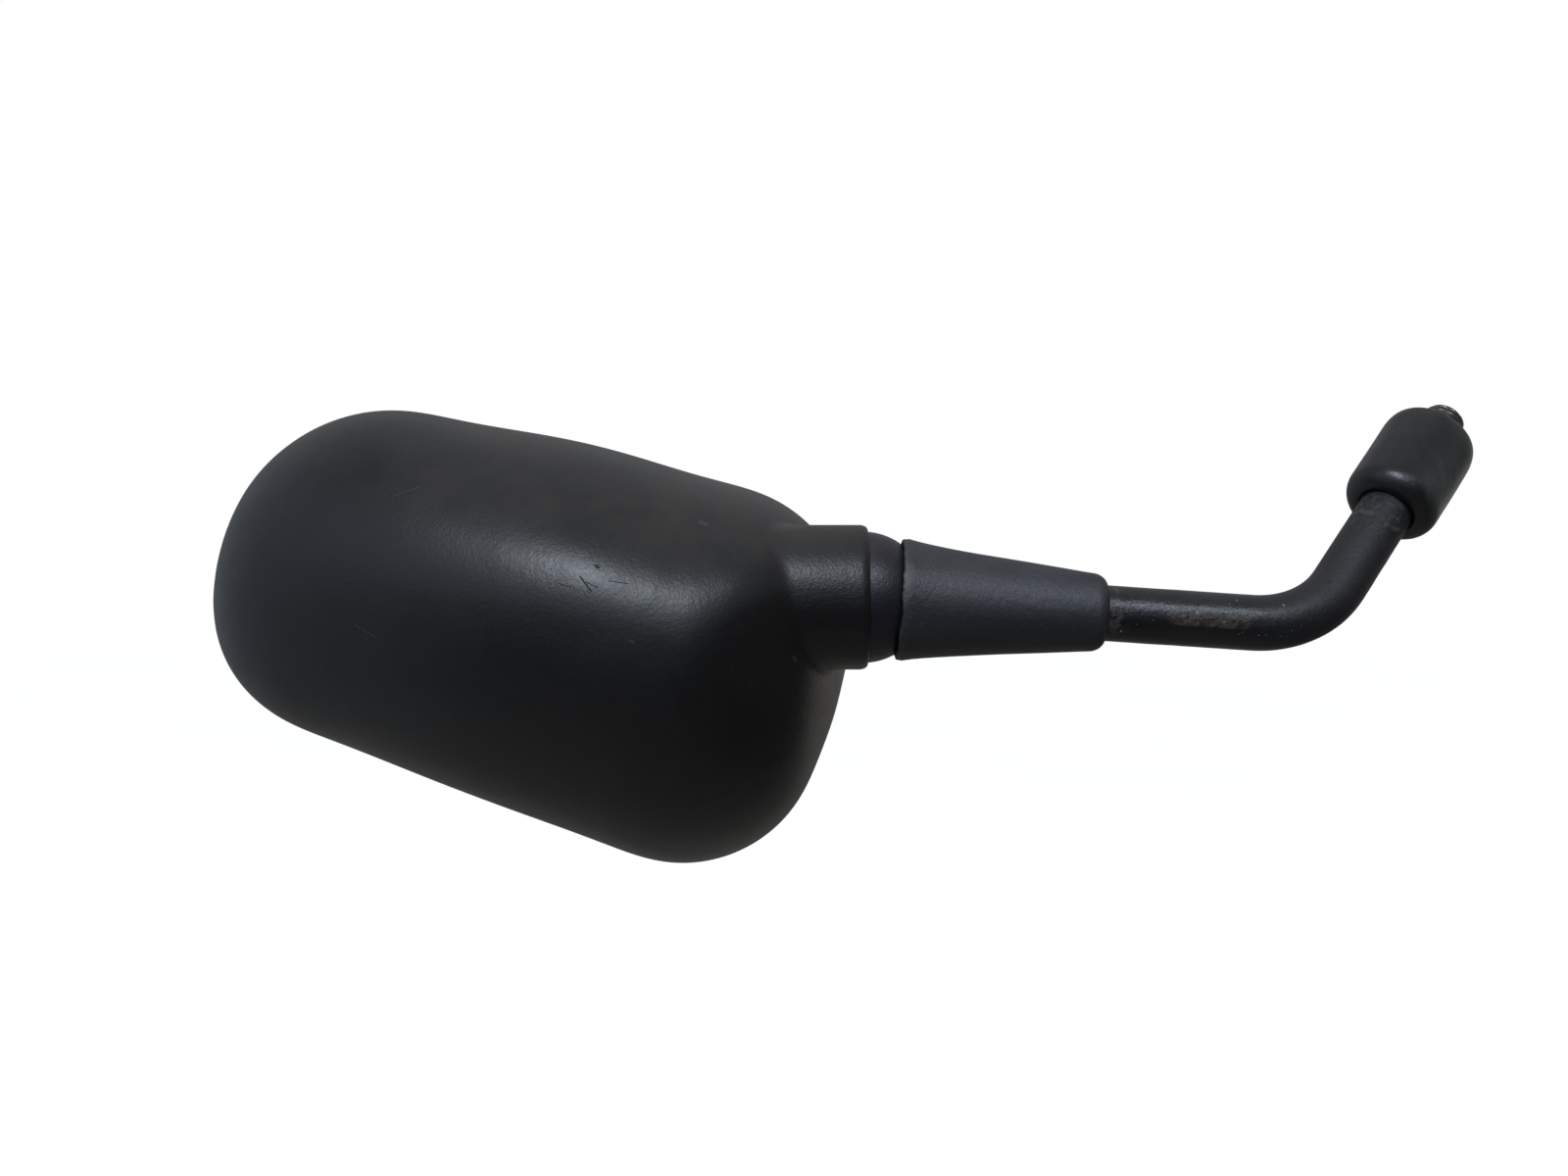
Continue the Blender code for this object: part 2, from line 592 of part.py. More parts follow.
# ---- holder plate with counterbored screw holes, and its screws
bm = curved_sheet(OUTLINE_N, 6.3, 21.6, 24.6, 2)
holder = finish("glass_holder", bm, holder_grey, head_pivot)
for k, (bx, bz) in enumerate(BOSSES):
    down = Matrix.Rotation(math.radians(-90), 4, 'X')
    at = Matrix.Translation((BALL + Vector((bx, 0, bz))) * MM) @ down
    face = 24.6 - sag(bx, bz)
    seat = face - 1.9
    bm = turned([(seat - 3, 0), (seat - 3, 1.7), (seat, 1.7), (seat, 3.2), (face + 1, 3.2), (face + 1, 0)], 14)
    hole = finish("hole", bm, holder_grey, None)
    hole.matrix_world = at
    boolean(holder, hole, 'DIFFERENCE')
    bm = turned([(seat - 8.6, 0), (seat - 8.6, 0.6), (seat - 7.6, 1.25), (seat + 0.3, 1.25), (seat + 0.3, 2.8),
                 (seat + 1.1, 2.7), (seat + 1.5, 2.0), (seat + 1.5, 0)], 14)
    screw = finish("holder_screw_%d" % (k + 1), bm, zinc, None)
    screw.matrix_world = at
    # cross recess: one plus-shaped prism
    w, v = 0.3, 1.6
    plus = [(v, -w), (v, w), (w, w), (w, v), (-w, v), (-w, w),
            (-v, w), (-v, -w), (-w, -w), (-w, -v), (w, -v), (w, -w)]
    bm = bmesh.new()
    loft(bm, [[Vector((px, py, pz)) for px, py in plus] for pz in (seat + 0.8, seat + 2.2)])
    slot = finish("slot", bm, zinc, None)
    slot.matrix_world = at
    boolean(screw, slot, 'DIFFERENCE')
    tidy(screw, 25)
    bpy.context.view_layer.update()
    keep = screw.matrix_world.copy()
    screw.parent = head_pivot
    screw.matrix_world = keep
tidy(holder)

# ---- foam pad, convex mirror glass, bezel
finish("glass_pad", curved_sheet(OUTLINE_N, 7.5, 24.9, 25.9, 2), foam, head_pivot)
finish("mirror_glass", curved_sheet(OUTLINE_N, 5.0, 26.2, 28.6, 3), mirror, head_pivot)

bm = bmesh.new()
rings = []
for inset, y in ((0.1, 28.9), (0.0, 29.3), (0.5, 30.0), (6.4, 30.1), (7.0, 29.7), (7.0, 28.9),
                 (4.6, 28.9), (4.6, 26.6), (3.6, 26.6), (3.6, 28.9)):
    rings.append([Vector((p.x, y - sag(p.x, p.y), p.y)) for p in outline(OUTLINE_N, inset)])
made = loft(bm, rings, False, False)
a, b = made[-1], made[0]
for i in range(OUTLINE_N):
    j = (i + 1) % OUTLINE_N
    bm.faces.new((a[i], a[j], b[j], b[i]))
finish("glass_bezel", bm, bezel_black, head_pivot)

bpy.context.view_layer.update()
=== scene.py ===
import math

import bmesh
import bpy
import numpy as np
from mathutils import Matrix, Vector, noise


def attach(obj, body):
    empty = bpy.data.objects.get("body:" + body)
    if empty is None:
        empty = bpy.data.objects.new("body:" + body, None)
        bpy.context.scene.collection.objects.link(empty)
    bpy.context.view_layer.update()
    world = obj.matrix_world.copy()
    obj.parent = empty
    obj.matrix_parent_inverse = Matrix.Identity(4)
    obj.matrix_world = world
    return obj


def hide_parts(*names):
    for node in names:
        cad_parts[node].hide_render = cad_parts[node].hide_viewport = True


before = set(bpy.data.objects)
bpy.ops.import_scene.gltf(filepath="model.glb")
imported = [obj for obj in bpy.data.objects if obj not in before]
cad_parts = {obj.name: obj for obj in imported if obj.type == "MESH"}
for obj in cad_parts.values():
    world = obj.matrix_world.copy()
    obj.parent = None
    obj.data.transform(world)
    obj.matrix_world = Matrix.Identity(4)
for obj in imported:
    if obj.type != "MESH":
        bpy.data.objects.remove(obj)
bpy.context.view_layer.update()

# Looks of the motorcycle mirror.  Lengths here are millimetres unless a name
# says otherwise; the head is laid out about BALL, the ball joint's centre.
MM = 0.001
TAU = 2 * math.pi

# ------------------------------------------------------------ shared layout
STEM_DROP_DEG = 3.75
LEG1, LEG2, BEND_R = 102.15, 73.9, 25.0
STUD_DIR = Vector((0.577, 0.444, 0.686)).normalized()
ROD_R, STUD_R, STUD_LEN = 6.35, 4.9, 21.5
ROD_START, SHANK_R, SHANK_END, BORE_R = 14.6, 4.0, 27.0, 4.3
PITCH = 1.25

BALL_R = 7.0
HUB_BORE, HUB_OUT, HUB_BACK = 10.1, 12.0, 11.1
DOME_R, DOME_IN, DOME_BACK = 14.9, 13.8, -3.5
COLLAR_R, COLLAR_IN, COLLAR_MOUTH = 16.4, 15.2, 1.1
RECESS_X, NECK_BACK = -8.3, -22.0
CONE_START, CONE_END, CONE_GAP = 8.1, 55.0, 0.35
NUT_FLATS, NUT_H, NUT_T = 16.0, 8.4, 9.6
COVER_R, COVER_T0, COVER_T1 = 11.2, 8.4, 34.8

CORNERS = [(-42.6, -30.4, 34.0), (-36.0, -7.0, 34.5),
           (-112.2, 3.4, 41.75), (-122.6, -1.1, 33.0)]
CROWNS = [1.0, 1.75, 0.5, 0.6]
PEAK = (-46.0, -8.0)
SPINE = (0.575, 0.45, 0.13)
PEAK_Y, RIM_Y = -25.0, 28.6
TURN = (2.2, 41.0, 19.0, 20.0, 14.0)
GLASS_CENTRE, GLASS_RADIUS = (-78.0, -4.0), 1200.0
WALL = 2.2
BOSSES = [(-122.0, 17.0), (-117.0, -17.0), (-56.0, 20.0), (-62.0, -40.0)]

stem_dir = Vector((math.cos(math.radians(STEM_DROP_DEG)), 0.0,
                   -math.sin(math.radians(STEM_DROP_DEG))))
BALL = -(stem_dir * LEG1 + STUD_DIR * LEG2)
B = np.array(BALL)


# ------------------------------------------------------------------- camera
cam_data = bpy.data.cameras.new("camera")
cam_data.lens = 40.5
cam_data.sensor_width = 36.0
cam_data.clip_start, cam_data.clip_end = 0.01, 60.0
cam = bpy.data.objects.new("camera", cam_data)
bpy.context.scene.collection.objects.link(cam)
cam.location = (BALL + Vector((-17.78, -400.0, 2.1))) * MM
cam.rotation_euler = (math.radians(90), 0, 0)
bpy.context.scene.camera = cam


# ------------------------------------------------------------- mesh helpers
def mesh_object(name, verts, faces, mats, angle=35.0, face_mat=None):
    """verts are in millimetres in the row frame."""
    me = bpy.data.meshes.new(name)
    me.from_pydata((np.asarray(verts, float) * MM).tolist(), [], faces)
    me.validate()
    bm = bmesh.new()
    bm.from_mesh(me)
    bmesh.ops.recalc_face_normals(bm, faces=bm.faces)
    bm.to_mesh(me)
    bm.free()
    for m in mats:
        me.materials.append(m)
    if face_mat is not None:
        me.polygons.foreach_set("material_index", np.asarray(face_mat, np.int32))
    me.shade_smooth()
    me.set_sharp_from_angle(angle=math.radians(angle))
    ob = bpy.data.objects.new(name, me)
    bpy.context.scene.collection.objects.link(ob)
    return ob


def grid_faces(rows, n, wrap_rows=False, start=0):
    out = []
    last = rows if wrap_rows else rows - 1
    for r in range(last):
        a = start + r * n
        b = start + ((r + 1) % rows) * n
        for i in range(n):
            j = (i + 1) % n
            out.append((a + i, a + j, b + j, b + i))
    return out


def skin(rings, closed=False, pole0=None, pole1=None):
    """Vertices and faces over an array of rings, shape (rows, n, 3)."""
    rings = np.asarray(rings, float)
    rows, n, _ = rings.shape
    verts = rings.reshape(-1, 3).tolist()
    faces = grid_faces(rows, n, closed)
    if pole0 is not None:
        k = len(verts)
        verts.append(list(pole0))
        faces += [(k, (i + 1) % n, i) for i in range(n)]
    if pole1 is not None:
        k = len(verts)
        base = (rows - 1) * n
        verts.append(list(pole1))
        faces += [(k, base + i, base + (i + 1) % n) for i in range(n)]
    return verts, faces


def rounded(points, steps=6, closed=True):
    """A profile with its corners rounded.  points are (u, v, radius)."""
    n = len(points)
    out = []
    for i, (u, v, rad) in enumerate(points):
        p = np.array((u, v), float)
        if rad <= 0 or (not closed and i in (0, n - 1)):
            out.append(tuple(p))
            continue
        a = np.array(points[i - 1][:2], float) - p
        b = np.array(points[(i + 1) % n][:2], float) - p
        la, lb = np.linalg.norm(a), np.linalg.norm(b)
        a, b = a / la, b / lb
        half = math.acos(max(-1.0, min(1.0, float(a @ b)))) / 2
        if half > math.radians(88):
            out.append(tuple(p))
            continue
        d = min(rad / math.tan(half), 0.48 * la, 0.48 * lb)
        rr = d * math.tan(half)
        mid = (a + b) / np.linalg.norm(a + b)
        centre = p + mid * (rr / math.sin(half))
        s0, s1 = p + a * d - centre, p + b * d - centre
        a0, a1 = math.atan2(s0[1], s0[0]), math.atan2(s1[1], s1[0])
        turn = (a1 - a0 + math.pi) % TAU - math.pi
        for k in range(steps + 1):
            t = a0 + turn * k / steps
            out.append((centre[0] + rr * math.cos(t), centre[1] + rr * math.sin(t)))
    return out


def spaced(profile, step, closed=True):
    """Adds points to a profile's long straight runs."""
    out = []
    pts = list(profile)
    ends = pts[1:] + ([pts[0]] if closed else [])
    for p, q in zip(pts, ends):
        out.append(p)
        d = math.hypot(q[0] - p[0], q[1] - p[1])
        k = int(d // step)
        for i in range(1, k + 1):
            t = i / (k + 1)
            out.append((p[0] + (q[0] - p[0]) * t, p[1] + (q[1] - p[1]) * t))
    if not closed:
        out.append(pts[-1])
    return out


def turned_verts(profile, seg, matrix, warp=None, closed=True):
    """Rings of (z, r) about the local Z axis; a zero radius becomes a pole."""
    m = np.array(matrix.to_3x3())
    o = np.array(matrix.to_translation())
    ang = np.arange(seg) * TAU / seg
    prof = list(profile)
    pole0 = pole1 = None
    if prof[0][1] < 1e-6:
        pole0 = m @ np.array((0, 0, prof[0][0])) + o
        prof = prof[1:]
    if prof[-1][1] < 1e-6:
        pole1 = m @ np.array((0, 0, prof[-1][0])) + o
        prof = prof[:-1]
    rings = []
    for z, r in prof:
        zz = np.full(seg, float(z))
        rr = np.full(seg, float(r))
        if warp is not None:
            zz, rr = warp(zz, rr, ang)
        rings.append(np.stack([rr * np.cos(ang), rr * np.sin(ang), zz], 1) @ m.T + o)
    return skin(rings, closed and pole0 is None and pole1 is None, pole0, pole1)


def frame_at(origin, direction):
    rot = Vector(direction).normalized().to_track_quat('Z', 'Y').to_matrix().to_4x4()
    return Matrix.Translation(origin) @ rot


def arc(cz, cr, rad, a0, a1, n):
    return [(cz + rad * math.cos(math.radians(a0 + (a1 - a0) * i / n)),
             cr + rad * math.sin(math.radians(a0 + (a1 - a0) * i / n)))
            for i in range(n + 1)]


def wobble(points, size, amount, seed=0.0):
    """Smooth noise along each point, in millimetres."""
    off = Vector((seed, seed * 1.7, seed * 0.3))
    return np.array([noise.noise(Vector(p) / size + off) * amount for p in points])


# -------------------------------------------------------------- head surface
def outline(n, inset=0.0):
    """n points of the head's outline in (x, z), moved inwards by inset."""
    c = CORNERS
    sides = []
    for i in range(4):
        a, b = c[i], c[(i + 1) % 4]
        d = Vector((b[0] - a[0], b[1] - a[1]))
        u = d / d.length
        s = (a[2] - b[2]) / d.length
        m = u * s + Vector((u.y, -u.x)) * math.sqrt(1 - s * s)
        sides.append((Vector(a[:2]) + m * a[2], Vector(b[:2]) + m * b[2], m))
    pts = []
    for i in range(4):
        p, q, m = sides[i]
        for k in range(60):
            t = k / 60
            pts.append(p.lerp(q, t) + m * CROWNS[i] * math.sin(math.pi * t) ** 2)
        centre, rad = Vector(c[(i + 1) % 4][:2]), c[(i + 1) % 4][2]
        m2 = sides[(i + 1) % 4][2]
        a0, a1 = math.atan2(m.y, m.x), math.atan2(m2.y, m2.x)
        while a1 < a0:
            a1 += TAU
        for k in range(60):
            a = a0 + (a1 - a0) * k / 60
            pts.append(centre + Vector((math.cos(a), math.sin(a))) * rad)
    pts = np.array(pts)
    ring = np.vstack([pts, pts[:1]])
    total = np.concatenate([[0], np.cumsum(np.linalg.norm(np.diff(ring, axis=0), axis=1))])
    want = total[-1] * np.arange(n) / n
    even = np.stack([np.interp(want, total, ring[:, k]) for k in (0, 1)], 1)
    # the sides meet the corner arcs: even out the curvature, keeping the size
    wave = np.fft.fftfreq(n, total[-1] / n) * TAU
    keep = np.exp(-0.5 * (wave * 6.5) ** 2)[:, None]
    even = np.real(np.fft.ifft(np.fft.fft(even, axis=0) * (2 * keep - keep ** 2), axis=0))
    tang = np.roll(even, -1, 0) - np.roll(even, 1, 0)
    tang /= np.linalg.norm(tang, axis=1)[:, None]
    return even - np.stack([tang[:, 1], -tang[:, 0]], 1) * inset


def sag(x, z):
    return ((x - GLASS_CENTRE[0]) ** 2 + (z - GLASS_CENTRE[1]) ** 2) / (2 * GLASS_RADIUS)


def polar_table(inset, centre):
    """Distance from centre to the outline, by angle."""
    rim = outline(1440, inset)
    d = rim - np.array(centre)
    ang = np.arctan2(d[:, 1], d[:, 0]) % TAU
    order = np.argsort(ang)
    return ang[order], np.linalg.norm(d, axis=1)[order]


class Shell:
    """The domed back as a height y over (x, z), as the CAD housing has it."""

    def __init__(self, inset, peak_y, rim_y):
        self.peak_y, self.rim_y = peak_y, rim_y
        ring = outline(1440, inset)
        ring = np.roll(ring, -int(np.argmax(ring[:, 0])), axis=0)
        last = int(np.argmin(ring[:, 0]))
        self.upper = ring[:last + 1][::-1]
        self.lower = np.vstack([ring[last:], ring[:1]])
        self.x_min, self.x_max = ring[last, 0], ring[0, 0]

    @staticmethod
    def fall(t, power):
        k = 0.985
        edge = (1 - k ** power) ** 0.5
        return ((1 - (k * np.clip(t, 0, 1)) ** power) ** 0.5 - edge) / (1 - edge)

    def y(self, x, z):
        top = np.interp(x, self.upper[:, 0], self.upper[:, 1])
        low = np.interp(x, self.lower[:, 0], self.lower[:, 1])
        out = np.clip((PEAK[0] - x) / 105.0, 0, 1)
        near = np.clip((x + 42.0) / 28.0, 0, 1)
        # the same ridge line as the CAD's, with its turn at the peak eased
        out = out * out / (out + 0.04)
        share = SPINE[0] + (SPINE[1] - SPINE[0]) * out + SPINE[2] * near * near * (3 - 2 * near)
        spine = low + share * (top - low)
        across = np.where(z > spine, (z - spine) / np.maximum(top - spine, 1e-6),
                          (spine - z) / np.maximum(spine - low, 1e-6))
        # the two ends' curves, eased into each other over the peak
        w = np.clip((x + 68.0) / 46.0, 0, 1)
        w = w * w * (3 - 2 * w)
        power = 2.1 + 1.25 * w
        t = np.where(x < PEAK[0], (PEAK[0] - x) / (PEAK[0] - self.x_min),
                     (x - PEAK[0]) / (self.x_max - PEAK[0]))
        along = self.fall(t, power)
        # the ridge turns down a little sooner on the neck's side
        a, b = np.clip((x + TURN[1]) / TURN[2], 0, 1), np.clip((x + TURN[3]) / TURN[4], 0, 1)
        turn = TURN[0] * a * a * (3 - 2 * a) * (1 - b * b * (3 - 2 * b)) * self.fall(across, 2.05)
        return (self.rim_y - sag(x, z) + turn
                + (self.peak_y - self.rim_y) * along * self.fall(across, 2.05))


def resample(path, fractions):
    """path (m, n, 3) holds n curves; each is read at these shares of its length."""
    m, n, _ = path.shape
    seg = np.linalg.norm(np.diff(path, axis=0), axis=2)
    run = np.vstack([np.zeros((1, n)), np.cumsum(seg, axis=0)])
    out = np.empty((len(fractions), n, 3))
    for i in range(n):
        t = run[:, i] / run[-1, i]
        for k in range(3):
            out[:, i, k] = np.interp(fractions, t, path[:, i, k])
    return out, run[-1]


def housing_piece():
    """The back shell and its neck as one closed skin.

    Every ring has the same number of points, from the collar's mouth over
    the fillet and the domed back to the rim, back along the inside, round
    the neck's far end, through the hub's bore and the recess to the mouth.
    """
    n = 468
    outer, inner = Shell(0.0, PEAK_Y, RIM_Y), Shell(WALL, PEAK_Y + WALL, RIM_Y)

    def meets(shell, radius, lowest, cy, cz):
        """Where the neck's cylinder dives under the shell, for each angle."""
        out = np.empty(len(cy))
        xs = np.linspace(0.5, lowest, 2600)
        for i in range(len(cy)):
            f = shell.y(xs, np.full_like(xs, cz[i] * radius)) - cy[i] * radius
            k = np.nonzero(f < 0)[0]
            out[i] = xs[k[0]] if len(k) else lowest
        for _ in range(6):
            out = out * 0.5 + (np.roll(out, 1) + np.roll(out, -1)) * 0.25
        return out

    centre = np.array((-11.0, 0.0))
    ang, rad = polar_table(0.0, centre)
    # uneven steps round the collar, so that the rim is finely divided too
    many = np.arange(1441) * TAU / 1440
    first = meets(outer, COLLAR_R, -34.0, -np.cos(many[:-1]), np.sin(many[:-1]))
    first = np.append(first, first[0])
    turn = np.unwrap(np.arctan2(COLLAR_R * np.sin(many) - centre[1], first - centre[0]))
    far = np.interp(turn % TAU, ang, rad, period=TAU)
    fx, fz = far * np.cos(turn), far * np.sin(turn)
    run = np.concatenate([[0], np.cumsum(np.hypot(np.diff(fx), np.diff(fz)))])
    blend = 0.62 * run / run[-1] + 0.38 * many / TAU
    th = np.interp(np.arange(n) / n, blend, many)
    cy, cz = -np.cos(th), np.sin(th)              # around the collar, front first

    xj = meets(outer, COLLAR_R, -34.0, cy, cz)
    jx, jz = xj, COLLAR_R * cz
    ex, ez = jx - centre[0], jz - centre[1]
    phi = np.unwrap(np.arctan2(ez, ex))
    reach = np.interp(phi % TAU, ang, rad, period=TAU)
    ox, oz = centre[0] + reach * np.cos(phi), centre[1] + reach * np.sin(phi)

    # the body, from the junction out to the rim
    s = np.sin(np.linspace(0, math.pi / 2, 500))[:, None]
    px, pz = jx + (ox - jx) * s, jz + (oz - jz) * s
    py = outer.y(px, pz)
    py[-1] = RIM_Y - sag(ox, oz)
    body, length = resample(np.stack([px, py, pz], 2), np.linspace(0, 1, 601))
    # the rim's outside edge is slightly rounded
    start = np.minimum(2.6 / length, 0.25)
    share = np.linspace(0, 1, 84)
    rows = []
    for t in share:
        f = (start + (1 - start) * t) * 600
        k = np.clip(f.astype(int), 0, 599)
        w = (f - k)[:, None]
        rows.append(body[k, np.arange(n)] * (1 - w) + body[k + 1, np.arange(n)] * w)
    body_rows = np.array(rows)
    body_rows[-1, :, 1] -= 0.35

    # the collar, from its lip back to the fillet
    lip = [(COLLAR_MOUTH, COLLAR_IN + 0.12)]
    for k in range(1, 9):
        a = math.pi / 2 * k / 8
        lip.append((COLLAR_MOUTH - 1.9 + 1.9 * math.cos(a), COLLAR_IN + 0.12
                    + (COLLAR_R - COLLAR_IN - 0.12) * math.sin(a)))
    collar = []
    for x, r in lip:
        collar.append(np.stack([np.full(n, x), r * cy, r * cz], 1))
    fillet_x = np.minimum(xj + 2.3, COLLAR_MOUTH - 2.6)
    for k in range(1, 17):
        x = lip[-1][0] + (fillet_x - lip[-1][0]) * k / 16
        collar.append(np.stack([x, COLLAR_R * cy, COLLAR_R * cz], 1))
    p0, p3 = collar[-1], body_rows[0]
    j = np.stack([xj, COLLAR_R * cy, COLLAR_R * cz], 1)
    fillet = []
    for k in range(1, 10):
        t = k / 10
        c1, c2 = p0 + (j - p0) * 0.72, p3 + (j - p3) * 0.72
        fillet.append(p0 * (1 - t) ** 3 + c1 * 3 * t * (1 - t) ** 2
                      + c2 * 3 * t * t * (1 - t) + p3 * t ** 3)

    # the rim's flat edge, then the inside
    ang_i, rad_i = polar_table(WALL, centre)
    reach_i = np.interp(phi % TAU, ang_i, rad_i, period=TAU)
    ix, iz = centre[0] + reach_i * np.cos(phi), centre[1] + reach_i * np.sin(phi)
    rim_in = np.stack([ix, RIM_Y - sag(ix, iz), iz], 1)
    edge = body_rows[-1] + (rim_in - body_rows[-1]) * 0.16
    edge[:, 1] = RIM_Y - sag(edge[:, 0], edge[:, 2])
    xi = meets(inner, COLLAR_R - 0.4, -21.0, cy, cz)
    xi = np.minimum(xi, xj - 1.2)
    xi = np.maximum(xi, NECK_BACK + 0.8)
    kx, kz = xi, (COLLAR_R - 0.4) * cz
    s = np.sin(np.linspace(0, math.pi / 2, 300))[:, None]
    px, pz = kx + (ix - kx) * s, kz + (iz - kz) * s
    py = inner.y(px, pz)
    py[-1] = RIM_Y - sag(ix, iz)
    inside, _ = resample(np.stack([px, py, pz], 2), np.linspace(0, 1, 34))
    inside[0, :, 1] = (COLLAR_R - 0.4) * cy
    inside_rows = inside[::-1]

    neck = rounded([(NECK_BACK, COLLAR_R - 0.4, 0.5), (NECK_BACK, HUB_BORE, 0.4),
                    (5.1, HUB_BORE, 0), (5.1, 7.1, 0), (6.0, 7.1, 0.25), (6.0, 11.3, 0.4),
                    (3.9, HUB_OUT, 0.4), (-2.0, HUB_OUT, 2.0), (RECESS_X, HUB_BACK, 0.5),
                    (RECESS_X, COLLAR_IN, 0.5), (COLLAR_MOUTH - 0.2, COLLAR_IN, 0)], 4, False)
    neck_rows = [np.stack([np.full(n, x), r * cy, r * cz], 1)
                 for x, r in spaced(neck, 4.0, False)]
    rings = collar + fillet + list(body_rows) + [edge] + list(inside_rows) + neck_rows
    rings = np.array(rings)
    verts, faces = skin(rings + B, closed=True)

    # four posts for the holder's screws, sunk into the wall
    for bx, bz in BOSSES:
        top = 20.9 - sag(bx, bz)
        turn = np.arange(32) * TAU / 32
        cx, cz2 = np.cos(turn), -np.sin(turn)
        prof = [(None, 3.7), (None, 1.6), (top - 0.3, 1.6), (top, 1.9), (top, 3.0), (top - 0.3, 3.3)]
        post = []
        for y, r in prof:
            x, z = bx + r * cx, bz + r * cz2
            y = inner.y(x, z) - 0.7 if y is None else np.full(32, y)
            post.append(np.stack([x, y, z], 1))
        v, f = skin(np.array(post) + B, closed=True)
        k = len(verts)
        verts += v
        faces += [tuple(q + k for q in face) for face in f]
    return verts, faces


